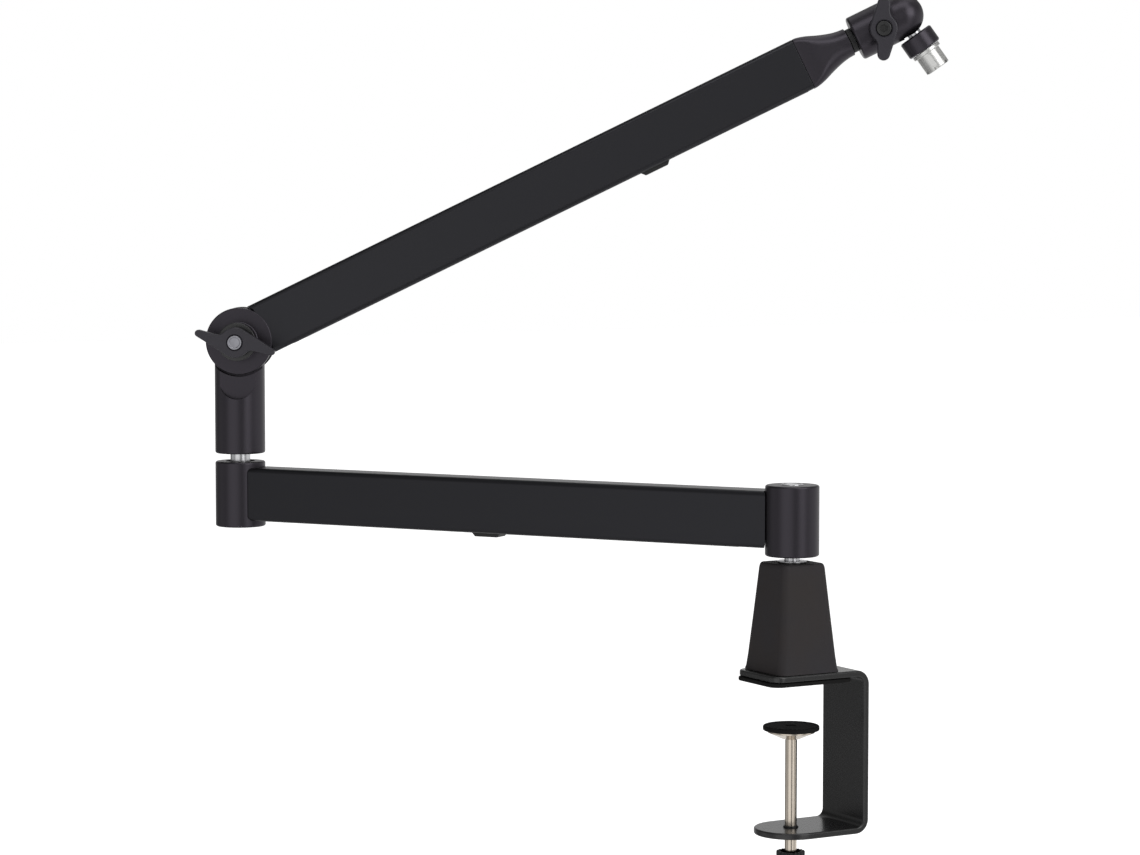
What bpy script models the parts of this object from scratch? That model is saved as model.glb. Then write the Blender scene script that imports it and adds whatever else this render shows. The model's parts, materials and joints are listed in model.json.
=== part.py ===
"""Desktop microphone stand: a low-profile boom arm on a C-shaped desk clamp.

The origin is the middle of the desk pad's underside, on the axis of the riser
and of the clamp screw, so the desk's top is z = 0. +Z is up, and +X runs from
the clamp's mouth to its back. Sizes are in millimetres and are turned to metres
when a mesh is made. The stand is shown as it is photographed: lower arm swung
over the desk, upper arm raised, thread adapter pointing down.
"""
from math import acos, atan2, cos, hypot, pi, radians, sin, sqrt

import bmesh
import bpy
from mathutils import Matrix, Vector

MM = 0.001
GAP = 0.3
WELD = 0.0005

# Clamp bracket, bent from flat steel, with the rubber pad under its top plate
STRIP_WIDTH = 48.0
STRIP_THICK = 4.2
PAD_THICK = 2.5
PAD_PROUD = 0.8
MOUTH_X = -28.0
BACK_X = 44.7
BEND_INNER = 5.0
PLATE_TOP = PAD_THICK + GAP + STRIP_THICK
LOWER_PLATE_TOP = -95.4
MOUTH_CORNER = 8.0
RISER_SCREW_AT = 13.0
RISER_SCREW_R = 2.5
RISER_SCREW_HEAD_R = 4.7

# Riser, the tapered block that carries the base hub's spigot
RISER_TOP = 77.0
RISER_SIZES = ((0.0, 46.6, 5.8), (2.2, 45.4, 5.6), (36.0, 38.6, 5.0), (66.5, 32.8, 4.2),
               (69.0, 31.6, 3.8), (69.7, 29.6, 3.4))
RISER_WALL = 4.5
RISER_CAVITY_TOP = 58.0
RISER_BOSS_R = 12.0
SCREW_BOSS_R = 5.2
BUSH_R = 8.0

# Base swivel
BASE_SPIGOT_R = 5.0
HUB_R = 17.5
HUB_BOTTOM = 81.2
HUB_TOP = 127.1
HUB_CAP_R = 7.2

# Arm profiles: a channel, open below, with a cover strip let into it
PROFILE_WIDTH = 24.0
PROFILE_HEIGHT = 37.1
PROFILE_EDGE = 3.5
PROFILE_WALL = 2.2
SOCKET_LOW = -13.0
COVER_THICK = 2.0
COVER_LEG = 5.0
COVER_HALF = 9.5
MAGNET_R = 4.0
MAGNET_THICK = 2.5
TAB_DEPTH = 2.8
TAB_LENGTH = 23.0
TAB_SLOPE = 3.0
SOCKET_SCREW_R = 2.0
SOCKET_SCREW_HEAD_R = 4.0

# Lower arm, level, from the base hub's axis to the elbow hub's axis
LOWER_LENGTH = 422.0
LOWER_YAW = radians(123.0)
LOWER_CENTRE = 104.6
REVEAL = 0.7
SOCKET_REACH = 46.0
LOWER_COVER_START = 34.0
LOWER_TAB_AT = 222.0

# Elbow column, which swivels on the elbow hub and carries the tilting pivot
COLUMN_R = 17.5
COLUMN_BOTTOM = 132.7
PIVOT_X = 1.0
PIVOT_Z = 211.6
ELBOW_SPIGOT_R = 7.0
ELBOW_STEM_R = 6.0
SLEEVE_R = 10.0
COLUMN_FLAT = 12.25
FLAT_LENGTH = 40.4
FLAT_HALF = 13.0
TONGUE_HALF = 5.5
EAR_R = 23.3
EAR_CLEAR_R = 24.7
EAR_INNER = 7.1
EAR_BOSS_R = 12.6
EAR_BOSS_HEIGHT = 10.7
BOLT_R = 4.9
FRICTION_WASHER_R = 12.0

# Upper arm, from the pivot to the head; its middle line passes just above the pivot
UPPER_YAW = radians(-31.1)
UPPER_RISE = radians(26.0)
PIVOT_IN_ARM = (0.8, 0.0, -0.6)
TUBE_CUT_R = 24.5
TUBE_END = 437.5
NECK_END = 473.3
NECK_END_R = 9.9
NECK_SECTIONS = ((0.3, 24.0, 37.1, 3.5), (3.5, 24.0, 36.7, 4.2), (9.5, 23.6, 33.6, 6.2), (17.5, 22.2, 27.6, 9.0),
                 (25.5, 20.8, 22.6, 10.0), (31.5, 20.0, 20.3, 9.9), (35.8, 19.8, 19.8, 9.8))
UPPER_COVER_START = 34.0
UPPER_COVER_END = 433.0
UPPER_TAB_AT = 315.0

# Wing lever at the elbow
LEVER_WASHER_R = 13.3
LEVER_WASHER_THICK = 1.5
ELBOW_LEVER_HUB_R = 10.5
ELBOW_LEVER_REACH = 28.4
ELBOW_LEVER_HEIGHT = 10.8
ELBOW_WING_HALF = 2.4
BOLT_PROUD = 0.9
ELBOW_WING_THICK = 7.0
ELBOW_LEVER_TURN = radians(-40.4)

# Head: split housing with a slotted dome, clamped on a ball by a small lever
HEAD_START = 477.6
DOME_CENTRE = 513.7
HEAD_R = 15.6
STEM_R = 5.0
BALL_R = 10.0
SLIT_HALF = 0.6
HEAD_LEVER_AT = 497.3
HEAD_LEVER_DROP = -2.5
HEAD_LEVER_HUB_R = 9.6
HEAD_LEVER_REACH = 22.0
HEAD_WING_HALF = 4.3
HEAD_WING_THICK = 5.4
HEAD_LEVER_HEIGHT = 7.5
HEAD_LEVER_TURN = radians(64.0)
STUD_ANGLE = radians(-80.5)
SLOT_FROM = radians(-90.0)
SLOT_TO = radians(0.0)

# Lock collar and thread adapter on the stud
COLLAR_R = 12.3
COLLAR_START = 15.9
COLLAR_LENGTH = 12.3
ADAPTER_FLANGE_R = 10.5
ADAPTER_R = 8.85
ADAPTER_LENGTH = 15.8
ADAPTER_BORE_DEPTH = 12.0
ADAPTER_NOTCHES = 6
NOTCH_FROM = radians(43.0)
NOTCH_HALF = 1.2
NOTCH_DEPTH = 2.0
NOTCH_REACH = 3.0

# Clamp screw
SCREW_R = 3.9
BUSH_COLLAR_R = 4.8
SCREW_PAD_TOP = -28.8
SCREW_PAD_R = 18.3
SCREW_PAD_THICK = 3.2
CUP_HEIGHT = 5.2
GRIP_TOP = -111.0
GRIP_LENGTH = 36.0
GRIP_R = 9.3
GRIP_RIBS = 20

ROUND = 36
SMALL_ROUND = 18

FINISHES = {
    "powder_coat": ("#323035", 0.0, 0.55),
    "satin_casting": ("#3A383C", 0.3, 0.42),
    "black_steel": ("#242424", 0.4, 0.38),
    "black_plastic": ("#262628", 0.0, 0.5),
    "rubber": ("#1E1E1E", 0.0, 0.85),
    "nickel": ("#C8BEB2", 1.0, 0.25),
    "bright_steel": ("#C9C9CB", 1.0, 0.22),
    "zinc": ("#96969B", 1.0, 0.4),
    "acetal": ("#222224", 0.0, 0.4),
    "magnet": ("#A9A9AC", 1.0, 0.3),
}


def linear(part):
    """Turn one sRGB part from 0 to 1 into linear light."""
    return part / 12.92 if part <= 0.04045 else ((part + 0.055) / 1.055) ** 2.4


def new_material(name, finish):
    """Make a piece's own material from a finish."""
    colour, metallic, roughness = FINISHES[finish]
    parts = [int(colour[i:i + 2], 16) / 255 for i in (1, 3, 5)]
    material = bpy.data.materials.new(name)
    material.use_nodes = True
    shader = material.node_tree.nodes["Principled BSDF"]
    shader.inputs["Base Color"].default_value = (*[linear(p) for p in parts], 1.0)
    shader.inputs["Metallic"].default_value = metallic
    shader.inputs["Roughness"].default_value = roughness
    return material


def new_frame(name, parent=None, location=(0, 0, 0), turn=None):
    """Make an empty that places pieces; location is in millimetres in the parent's frame."""
    empty = bpy.data.objects.new(name, None)
    bpy.context.scene.collection.objects.link(empty)
    empty.parent = parent
    place = Matrix.Translation(Vector(location) * MM)
    empty.matrix_local = place @ turn.to_4x4() if turn else place
    return empty


def as_object(name, shape, parent):
    """Turn a shape in millimetres into an object under a frame."""
    bmesh.ops.scale(shape, vec=(MM, MM, MM), verts=shape.verts)
    mesh = bpy.data.meshes.new(name)
    shape.to_mesh(mesh)
    shape.free()
    item = bpy.data.objects.new(name, mesh)
    bpy.context.scene.collection.objects.link(item)
    item.parent = parent
    return item


def piece(name, shape, parent, finish):
    """Make one named piece of the stand, shaded smooth between its sharp edges."""
    item = as_object(name, shape, parent)
    item.data.shade_smooth()
    item.data.set_sharp_from_angle(angle=radians(35))
    item.data.materials.append(new_material(name, finish))
    return item


def change(item, shape, operation="DIFFERENCE"):
    """Cut a shape out of a piece, or join it on."""
    tool = as_object(f"{item.name}_tool", shape, item.parent)
    tool.hide_render = True
    tool.display_type = "WIRE"
    step = item.modifiers.new(operation.title(), "BOOLEAN")
    step.operation = operation
    step.object = tool
    step.solver = "EXACT"


def closed(shape):
    """Weld a shape's doubles and turn its faces outwards."""
    bmesh.ops.remove_doubles(shape, verts=shape.verts, dist=WELD)
    bmesh.ops.recalc_face_normals(shape, faces=shape.faces)
    return shape


def turned(profile, ring=False, steps=ROUND):
    """Turn a profile of (radius, height) points about Z; a ring profile closes on itself."""
    shape = bmesh.new()
    turns = [2 * pi * i / steps for i in range(steps)]
    rings = [[shape.verts.new((r * cos(a), r * sin(a), h)) for a in turns] for r, h in profile if r > 0]
    bands = list(zip(rings, rings[1:]))
    if ring:
        bands.append((rings[-1], rings[0]))
    for lower, upper in bands:
        for i in range(steps):
            j = (i + 1) % steps
            shape.faces.new((lower[i], lower[j], upper[j], upper[i]))
    if not ring:
        for height, rim in ((profile[0][1], rings[0]), (profile[-1][1], rings[-1])):
            if abs(height - rim[0].co.z) < WELD:
                shape.faces.new(rim)
                continue
            pole = shape.verts.new((0, 0, height))
            for i in range(steps):
                shape.faces.new((rim[i], rim[(i + 1) % steps], pole))
    return closed(shape)


def cylinder(radius, low, high, steps=SMALL_ROUND):
    """Make a plain round bar along Z."""
    return turned(((0, low), (radius, low), (radius, high), (0, high)), steps=steps)


def tube(outer, inner, low, high, steps=ROUND):
    """Make a round ring along Z."""
    return turned(((inner, low), (outer, low), (outer, high), (inner, high)), ring=True, steps=steps)


def prism(outline, low, high):
    """Extrude a flat outline of (x, y) points along Z."""
    shape = bmesh.new()
    face = shape.faces.new([shape.verts.new((x, y, low)) for x, y in outline])
    raised = bmesh.ops.extrude_face_region(shape, geom=[face])
    moved = [v for v in raised["geom"] if isinstance(v, bmesh.types.BMVert)]
    bmesh.ops.translate(shape, vec=(0, 0, high - low), verts=moved)
    return closed(shape)


def box(low, high):
    """Make a box between two corners."""
    outline = ((low[0], low[1]), (high[0], low[1]), (high[0], high[1]), (low[0], high[1]))
    return prism(outline, low[2], high[2])


def lofted(sections):
    """Skin closed outlines, each a list of (x, y) with its height, and cap both ends."""
    shape = bmesh.new()
    rings = [[shape.verts.new((x, y, h)) for x, y in outline] for h, outline in sections]
    for lower, upper in zip(rings, rings[1:]):
        count = len(lower)
        for i in range(count):
            j = (i + 1) % count
            shape.faces.new((lower[i], lower[j], upper[j], upper[i]))
    shape.faces.new(reversed(rings[0]))
    shape.faces.new(rings[-1])
    return closed(shape)


def arc(centre, radius, start, end, steps):
    """Give points on an arc, ends included, with angles in degrees."""
    angles = [radians(start + (end - start) * i / steps) for i in range(steps + 1)]
    return [(centre[0] + radius * cos(a), centre[1] + radius * sin(a)) for a in angles]


def rounded(width, depth, radius, steps=5):
    """Give the outline of a rectangle with round corners, centred on the origin."""
    x, y = width / 2 - radius, depth / 2 - radius
    points = []
    for sx, sy, start in ((1, 1, 0), (-1, 1, 90), (-1, -1, 180), (1, -1, 270)):
        points += arc((sx * x, sy * y), radius, start, start + 90, steps)
    return points


def turned_edge(radius, low, high, edge):
    """Give a bar's profile whose two rims are rounded."""
    bottom = arc((radius - edge, low + edge), edge, -90, 0, 3)
    top = arc((radius - edge, high - edge), edge, 0, 90, 3)
    return [(0, low)] + bottom + top + [(0, high)]


def to_axis(shape, axis):
    """Turn a shape made along Z so that it runs along +X, +Y or -Y."""
    turns = {"X": Matrix.Rotation(pi / 2, 3, "Y"), "Y": Matrix.Rotation(-pi / 2, 3, "X"),
             "-Y": Matrix.Rotation(pi / 2, 3, "X")}
    bmesh.ops.rotate(shape, matrix=turns[axis], cent=(0, 0, 0), verts=shape.verts)
    return shape


def moved(shape, offset):
    """Shift a shape."""
    bmesh.ops.translate(shape, vec=offset, verts=shape.verts)
    return shape


def spun(shape, angle, axis="Y"):
    """Turn a shape about an axis through the origin."""
    bmesh.ops.rotate(shape, matrix=Matrix.Rotation(angle, 3, axis), cent=(0, 0, 0), verts=shape.verts)
    return shape


def countersunk(radius, head_radius, length, head):
    """Give the profile of a countersunk screw along Z: the head's flat is at 0, the tip below."""
    return [(0, -length), (radius, -length), (radius, -head), (head_radius, -0.6), (head_radius, 0), (0, 0)]


def wing_outline(hub, reach, half, fillet):
    """Give the outline of a lever with two swept wings, the same shape turned by half a turn.

    On each wing the leading side is a straight tangent from hub to tip, and the
    other side is hollow, with a fillet into the hub.
    """
    tip = reach - half
    lean = acos((hub - half) / tip)
    hollow_x = sqrt((hub + fillet) ** 2 - (half + fillet) ** 2)
    hollow_end = atan2(half + fillet, -hollow_x)
    hub_from = -atan2(half + fillet, hollow_x)
    wing = arc((tip, 0), half, lean * 180 / pi, -90, 7)
    wing += arc((hollow_x, -half - fillet), fillet, 90, hollow_end * 180 / pi, 5)
    wing += arc((0, 0), hub, hub_from * 180 / pi, lean * 180 / pi - 180, 7)[1:]
    return wing + [(-x, -y) for x, y in wing]


def channel_outline():
    """Give the arm profile's section: a box of even wall, open below, as (across, up)."""
    half, tall = PROFILE_WIDTH / 2, PROFILE_HEIGHT / 2
    inner = half - PROFILE_WALL
    edge = PROFILE_EDGE
    lip = -tall + edge - sqrt(edge ** 2 - (inner - half + edge) ** 2)
    start = atan2(lip + tall - edge, inner - half + edge) * 180 / pi
    right = arc((half - edge, -tall + edge), edge, start, 0, 3)
    right += arc((half - edge, tall - edge), edge, 0, 90, 5)
    outer = right + [(-x, y) for x, y in reversed(right)]
    ceiling = tall - PROFILE_WALL
    return outer + [(-inner, ceiling), (inner, ceiling)]


def along_arm(outline, start, end):
    """Extrude a section of (across, up) points along +X."""
    shape = prism(outline, start, end)
    turn = Matrix(((0, 0, 1), (1, 0, 0), (0, 1, 0)))
    bmesh.ops.rotate(shape, matrix=turn, cent=(0, 0, 0), verts=shape.verts)
    return shape


def sideways(outline, low, high):
    """Extrude an outline of (x, z) points along Y."""
    shape = prism([(x, -z) for x, z in outline], low, high)
    return to_axis(shape, "Y")


def socket_block(start, end):
    """Make the plug that fills an arm profile's end."""
    across = PROFILE_WIDTH / 2 - PROFILE_WALL - GAP - 0.05
    top = PROFILE_HEIGHT / 2 - PROFILE_WALL - GAP
    return box((start, -across, SOCKET_LOW), (end, across, top))


def socket_screw_shape(side, grow=0.0):
    """Make a socket screw, or its hole, which runs out past the face; side is +1 or -1 for the face it enters by."""
    profile = countersunk(SOCKET_SCREW_R + grow, SOCKET_SCREW_HEAD_R + grow, 10.0 + grow, 2.3 + grow / 2)
    if grow:
        profile[-2:] = [(SOCKET_SCREW_HEAD_R + grow, 1.0), (0, 1.0)]
    shape = to_axis(turned(profile, steps=SMALL_ROUND), "Y" if side > 0 else "-Y")
    return moved(shape, (0, side * (PROFILE_WIDTH / 2 - 0.1), 0))


def add_socket_screw(name, parent, profile, plug, at, height, side):
    """Fit a countersunk screw through a profile's far wall into its plug."""
    place = (at, 0, height)
    for item in (profile, plug):
        change(item, moved(socket_screw_shape(side, GAP), place))
    piece(name, moved(socket_screw_shape(side), place), parent, "black_steel")


def add_cover(prefix, parent, start, end, tab_at, height, magnets_at):
    """Make a cover strip with its pull tab and the two magnets that hold it."""
    low = height - PROFILE_HEIGHT / 2
    plate = low + COVER_THICK
    leg = low + COVER_LEG
    half, inner = COVER_HALF, COVER_HALF - 1.5
    section = ((-half, low + 0.2), (-half + 0.8, low), (half - 0.8, low), (half, low + 0.2), (half, leg),
               (inner, leg), (inner, plate), (-inner, plate), (-inner, leg), (-half, leg))
    cover = piece(f"{prefix}_cover", along_arm(section, start, end), parent, "black_plastic")
    reach = TAB_LENGTH / 2
    tab = ((tab_at - reach, low + 0.5), (tab_at - reach + TAB_SLOPE, low - TAB_DEPTH),
           (tab_at + reach - TAB_SLOPE, low - TAB_DEPTH), (tab_at + reach, low + 0.5))
    change(cover, sideways(tab, -6, 6), "UNION")
    for number, at in enumerate(magnets_at, 1):
        disc = cylinder(MAGNET_R, plate + GAP, plate + GAP + MAGNET_THICK)
        piece(f"{prefix}_magnet_{number}", moved(disc, (at, 0, 0)), parent, "magnet")


def add_catch(name, parent, plug, at, height):
    """Let a steel catch disc into the underside of a plug, over a cover's magnet."""
    low = height + SOCKET_LOW
    change(plug, moved(cylinder(MAGNET_R + GAP, low - 1, low + MAGNET_THICK + 2 * GAP), (at, 0, 0)))
    disc = cylinder(MAGNET_R, low + GAP, low + GAP + MAGNET_THICK)
    piece(name, moved(disc, (at, 0, 0)), parent, "zinc")


def add_clamp(frame):
    """Build the bracket, its desk pad and the bush in its lower plate."""
    outer = BEND_INNER + STRIP_THICK
    bend_x = BACK_X - outer
    top, under = PLATE_TOP, PLATE_TOP - STRIP_THICK
    low_top, low_under = LOWER_PLATE_TOP, LOWER_PLATE_TOP - STRIP_THICK
    half = STRIP_WIDTH / 2
    path = [(MOUTH_X, top)] + arc((bend_x, top - outer), outer, 90, 0, 6)
    path += arc((bend_x, low_under + outer), outer, 0, -90, 6) + [(-half, low_under), (-half, low_top)]
    path += arc((bend_x, low_under + outer), BEND_INNER, -90, 0, 5)
    path += arc((bend_x, top - outer), BEND_INNER, 0, 90, 5) + [(MOUTH_X, under)]
    bracket = piece("clamp_bracket", sideways(path, -half, half), frame, "black_steel")
    inset = MOUTH_X + MOUTH_CORNER
    past = 2.0
    mouth = [(MOUTH_X - past, -half - past), (inset, -half - past)]
    mouth += arc((inset, -half + MOUTH_CORNER), MOUTH_CORNER, -90, -180, 5)
    mouth += arc((inset, half - MOUTH_CORNER), MOUTH_CORNER, 180, 90, 5)
    mouth += [(inset, half + past), (MOUTH_X - past, half + past)]
    change(bracket, prism(mouth, under - past, top + past))
    tail = [(-half - past, -half - past), (0, -half - past)] + arc((0, 0), half, -90, -270, 18)
    tail += [(0, half + past), (-half - past, half + past)]
    change(bracket, prism(tail, low_under - past, low_top + past))
    change(bracket, cylinder(BUSH_COLLAR_R + GAP, low_under - past, low_top + past))
    for x, y in screw_places():
        hole = [(0, top + past), (RISER_SCREW_R + GAP, top + past), (RISER_SCREW_R + GAP, under + 2.7),
                (RISER_SCREW_HEAD_R + GAP, under + 0.4), (RISER_SCREW_HEAD_R + GAP, under - past), (0, under - past)]
        change(bracket, moved(turned(hole, steps=SMALL_ROUND), (x, y, 0)))

    pad_end = bend_x - 2.0
    length = pad_end - MOUTH_X + PAD_PROUD
    middle = (pad_end + MOUTH_X - PAD_PROUD) / 2
    pad = [(middle + x, y) for x, y in rounded(length, STRIP_WIDTH, MOUTH_CORNER)]
    piece("desk_pad", prism(pad, 0.0, PAD_THICK), frame, "rubber")
    bush = tube(BUSH_COLLAR_R, SCREW_R + GAP, low_under + GAP, low_top + 1.2)
    piece("thread_bush", bush, frame, "black_steel")


def screw_places():
    """Give the four places of the riser's screws."""
    at = RISER_SCREW_AT
    return ((-at, -at), (at, -at), (at, at), (-at, at))


def add_riser(frame):
    """Build the hollow riser with its bushes, thrust disc and screws."""
    foot = PLATE_TOP + GAP
    outer = [(foot + h, rounded(s, s, r)) for h, s, r in RISER_SIZES]
    riser = piece("riser_housing", lofted(outer), frame, "powder_coat")
    wide = RISER_SIZES[1][1] - 2 * RISER_WALL
    narrow = RISER_SIZES[2][1] - 2 * RISER_WALL - 2.6
    cavity = [(foot - 1, rounded(wide, wide, 4)), (RISER_CAVITY_TOP, rounded(narrow, narrow, 3))]
    change(riser, lofted(cavity))
    change(riser, cylinder(RISER_BOSS_R, foot, RISER_CAVITY_TOP + 1, steps=ROUND), "UNION")
    for x, y in screw_places():
        change(riser, moved(cylinder(SCREW_BOSS_R, foot, RISER_CAVITY_TOP + 1), (x, y, 0)), "UNION")
        change(riser, moved(cylinder(RISER_SCREW_R + GAP, foot - 1, foot + 17), (x, y, 0)))
    change(riser, cylinder(BUSH_R + GAP, foot - 1, RISER_TOP + 1, steps=ROUND))

    under = PLATE_TOP - STRIP_THICK
    for number, (x, y) in enumerate(screw_places(), 1):
        profile = [(r, -h) for r, h in countersunk(RISER_SCREW_R, RISER_SCREW_HEAD_R, 18.0, 2.4)]
        screw = moved(turned(profile, steps=SMALL_ROUND), (x, y, under + 0.1))
        piece(f"riser_screw_{number}", screw, frame, "bright_steel")
    bore = BASE_SPIGOT_R + GAP
    top_bush = ((bore, 50.0), (BUSH_R, 50.0), (BUSH_R, RISER_TOP + GAP), (9.4, RISER_TOP + GAP),
                (9.4, RISER_TOP + 1.2), (bore, RISER_TOP + 1.2))
    piece("riser_top_bush", turned(top_bush, ring=True), frame, "bright_steel")
    piece("riser_low_bush", tube(BUSH_R, bore, 14.0, 30.0), frame, "bright_steel")
    piece("thrust_disc", cylinder(BUSH_R - 0.5, foot, 11.4, steps=ROUND), frame, "acetal")


def add_clamp_screw(frame):
    """Build the screw, the swivelling pad on its tip and the ribbed grip."""
    pad_low = SCREW_PAD_TOP - SCREW_PAD_THICK
    pad = turned(turned_edge(SCREW_PAD_R, pad_low, SCREW_PAD_TOP, 0.9))
    piece("screw_pad", pad, frame, "rubber")
    cup_top = pad_low - GAP
    cup_low = cup_top - CUP_HEIGHT
    socket = SCREW_R + 0.4
    cup = [(0, cup_top), (15.5, cup_top), (15.5, cup_top - 1.0), (6.2, cup_low), (socket, cup_low),
           (socket, cup_top - 1.4), (0, cup_top - 1.4)]
    piece("screw_cup", turned(cup[::-1]), frame, "nickel")

    tip = cup_top - 1.4 - GAP
    grip_low = GRIP_TOP - GRIP_LENGTH
    rod = [(0, grip_low + 4), (SCREW_R, grip_low + 4)] + arc((0, tip - SCREW_R), SCREW_R, 0, 90, 5)
    rod = piece("clamp_screw", turned(rod, steps=SMALL_ROUND), frame, "nickel")
    ribs = []
    for i in range(GRIP_RIBS):
        for offset, radius in ((0.0, GRIP_R), (0.35, GRIP_R), (0.5, GRIP_R - 0.9), (0.85, GRIP_R - 0.9)):
            angle = 2 * pi * (i + offset) / GRIP_RIBS
            ribs.append((radius * cos(angle), radius * sin(angle)))
    grip = piece("clamp_grip", prism(ribs, grip_low, GRIP_TOP), frame, "black_plastic")
    change(grip, cylinder(SCREW_R + GAP, grip_low + 3, GRIP_TOP + 1))
    change(grip, cylinder(6.6, GRIP_TOP - 3.0, GRIP_TOP + 1))
    pin_z = grip_low + 12
    for item in (rod, grip):
        change(item, moved(to_axis(cylinder(1.5 + GAP, -12, 12, steps=12), "Y"), (0, 0, pin_z)))
    pin = moved(to_axis(cylinder(1.5, -8.2, 8.2, steps=12), "Y"), (0, 0, pin_z))
    piece("grip_pin", pin, frame, "bright_steel")


def hub_profile():
    """Give a hub's outer profile, from its bottom to its top."""
    return turned_edge(HUB_R, HUB_BOTTOM, HUB_TOP, 1.4)


def add_lower_arm(frame):
    """Build the lower arm: two hubs joined by a channel profile, with +X towards the elbow."""
    side = -1
    reach = SOCKET_REACH
    far = LOWER_LENGTH
    base = piece("base_hub", turned(hub_profile()), frame, "satin_casting")
    change(base, moved(socket_block(12.5, reach), (0, 0, LOWER_CENTRE)), "UNION")
    change(base, cylinder(BASE_SPIGOT_R + GAP, HUB_BOTTOM - 1, HUB_TOP - 5))
    change(base, cylinder(HUB_CAP_R + GAP, HUB_TOP - 2.2, HUB_TOP + 1, steps=ROUND))
    piece("base_spigot", cylinder(BASE_SPIGOT_R, 11.7, HUB_TOP - 5.4, steps=ROUND), frame, "bright_steel")
    cap = turned(turned_edge(HUB_CAP_R, HUB_TOP - 1.9, HUB_TOP + 0.6, 0.5))
    piece("base_hub_cap", cap, frame, "bright_steel")

    elbow = piece("elbow_hub", moved(turned(hub_profile()), (far, 0, 0)), frame, "satin_casting")
    change(elbow, moved(socket_block(far - reach, far - 12.5), (0, 0, LOWER_CENTRE)), "UNION")
    shoulder = HUB_BOTTOM + 8.8
    bore = [(0, HUB_BOTTOM - 1), (SLEEVE_R, HUB_BOTTOM - 1), (SLEEVE_R, shoulder), (ELBOW_STEM_R + 1.3, shoulder),
            (ELBOW_STEM_R + 1.3, shoulder + 4), (SLEEVE_R + GAP, shoulder + 4), (SLEEVE_R + GAP, HUB_TOP + 1),
            (0, HUB_TOP + 1)]
    change(elbow, moved(turned(bore), (far, 0, 0)))
    sleeve = tube(SLEEVE_R, ELBOW_STEM_R + GAP, shoulder + 4 + GAP, HUB_TOP - 2.5)
    piece("elbow_sleeve", moved(sleeve, (far, 0, 0)), frame, "acetal")

    profile = moved(along_arm(channel_outline(), 6, far - 6), (0, 0, LOWER_CENTRE))
    profile = piece("lower_tube", profile, frame, "powder_coat")
    for x in (0, far):
        change(profile, moved(cylinder(HUB_R + REVEAL, HUB_BOTTOM, HUB_TOP, steps=ROUND), (x, 0, 0)))
    add_socket_screw("base_socket_screw", frame, profile, base, 27, LOWER_CENTRE + 3, side)
    add_socket_screw("elbow_socket_screw", frame, profile, elbow, far - 27, LOWER_CENTRE + 3, side)
    add_catch("lower_catch_1", frame, base, 39.5, LOWER_CENTRE)
    add_catch("lower_catch_2", frame, elbow, far - 39.5, LOWER_CENTRE)
    end = far - LOWER_COVER_START + 10
    add_cover("lower", frame, LOWER_COVER_START, end, LOWER_TAB_AT, LOWER_CENTRE, (39.5, far - 39.5))


def add_column(frame):
    """Build the upright column, which turns on the elbow hub; +X is the upper arm's heading."""
    body = turned([(0, COLUMN_BOTTOM)] + arc((COLUMN_R - 1.4, COLUMN_BOTTOM + 1.4), 1.4, -90, 0, 3)
                  + [(COLUMN_R, PIVOT_Z + COLUMN_R + 1), (0, PIVOT_Z + COLUMN_R + 1)])
    column = piece("column_body", body, frame, "satin_casting")
    flat_z = PIVOT_Z - FLAT_LENGTH + FLAT_HALF
    past = PIVOT_Z + COLUMN_R + 3
    flat = arc((0, flat_z), FLAT_HALF, -180, 0, 16) + [(FLAT_HALF, past), (-FLAT_HALF, past)]
    over = COLUMN_R + 1
    for low, high in ((COLUMN_FLAT, over), (-over, -COLUMN_FLAT)):
        change(column, sideways(flat, low, high))
    pivot = (PIVOT_X, 0, PIVOT_Z)
    for low, high in ((TONGUE_HALF, over), (-over, -TONGUE_HALF)):
        slot = to_axis(cylinder(EAR_CLEAR_R, low, high, steps=ROUND), "Y")
        change(column, moved(slot, pivot))
    crown = COLUMN_R - 0.2
    wide = over + PIVOT_X
    top = [(-wide, 0)] + arc((0, 0), crown, 180, 0, 16) + [(wide, 0), (wide, wide + 2), (-wide, wide + 2)]
    change(column, moved(sideways(top, -over, over), pivot))
    hole = to_axis(cylinder(BOLT_R + GAP, -over, over), "Y")
    change(column, moved(hole, pivot))
    spigot_top = COLUMN_BOTTOM + 19
    change(column, cylinder(ELBOW_SPIGOT_R + GAP, COLUMN_BOTTOM - 1, spigot_top + GAP))

    step = HUB_TOP - 2.2
    end = HUB_BOTTOM + 7.9
    spigot = [(0, end + 8), (2.8, end + 8), (2.8, end), (ELBOW_STEM_R, end), (ELBOW_STEM_R, step),
              (ELBOW_SPIGOT_R, step), (ELBOW_SPIGOT_R, spigot_top), (0, spigot_top)]
    piece("elbow_spigot", turned(spigot), frame, "bright_steel")
    piece("retainer_washer", tube(9.0, 2.8, end - GAP - 2.2, end - GAP), frame, "bright_steel")
    head = end - GAP - 2.2 - GAP
    screw = ((0, head - 2.8), (4.4, head - 2.8), (4.4, head), (2.5, head), (2.5, end + 7.5), (0, end + 7.5))
    piece("retainer_screw", turned(screw, steps=SMALL_ROUND), frame, "black_steel")
    for number, low in enumerate((TONGUE_HALF + GAP, -TONGUE_HALF - GAP - 1.0), 1):
        ring = to_axis(tube(FRICTION_WASHER_R, BOLT_R + GAP, low, low + 1.0), "Y")
        piece(f"friction_washer_{number}", moved(ring, pivot), frame, "acetal")


def lever_seat():
    """Give where the elbow lever's hub starts, on the boss and the washer of the near ear."""
    return -COLUMN_FLAT - EAR_BOSS_HEIGHT - GAP - LEVER_WASHER_THICK - GAP


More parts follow.
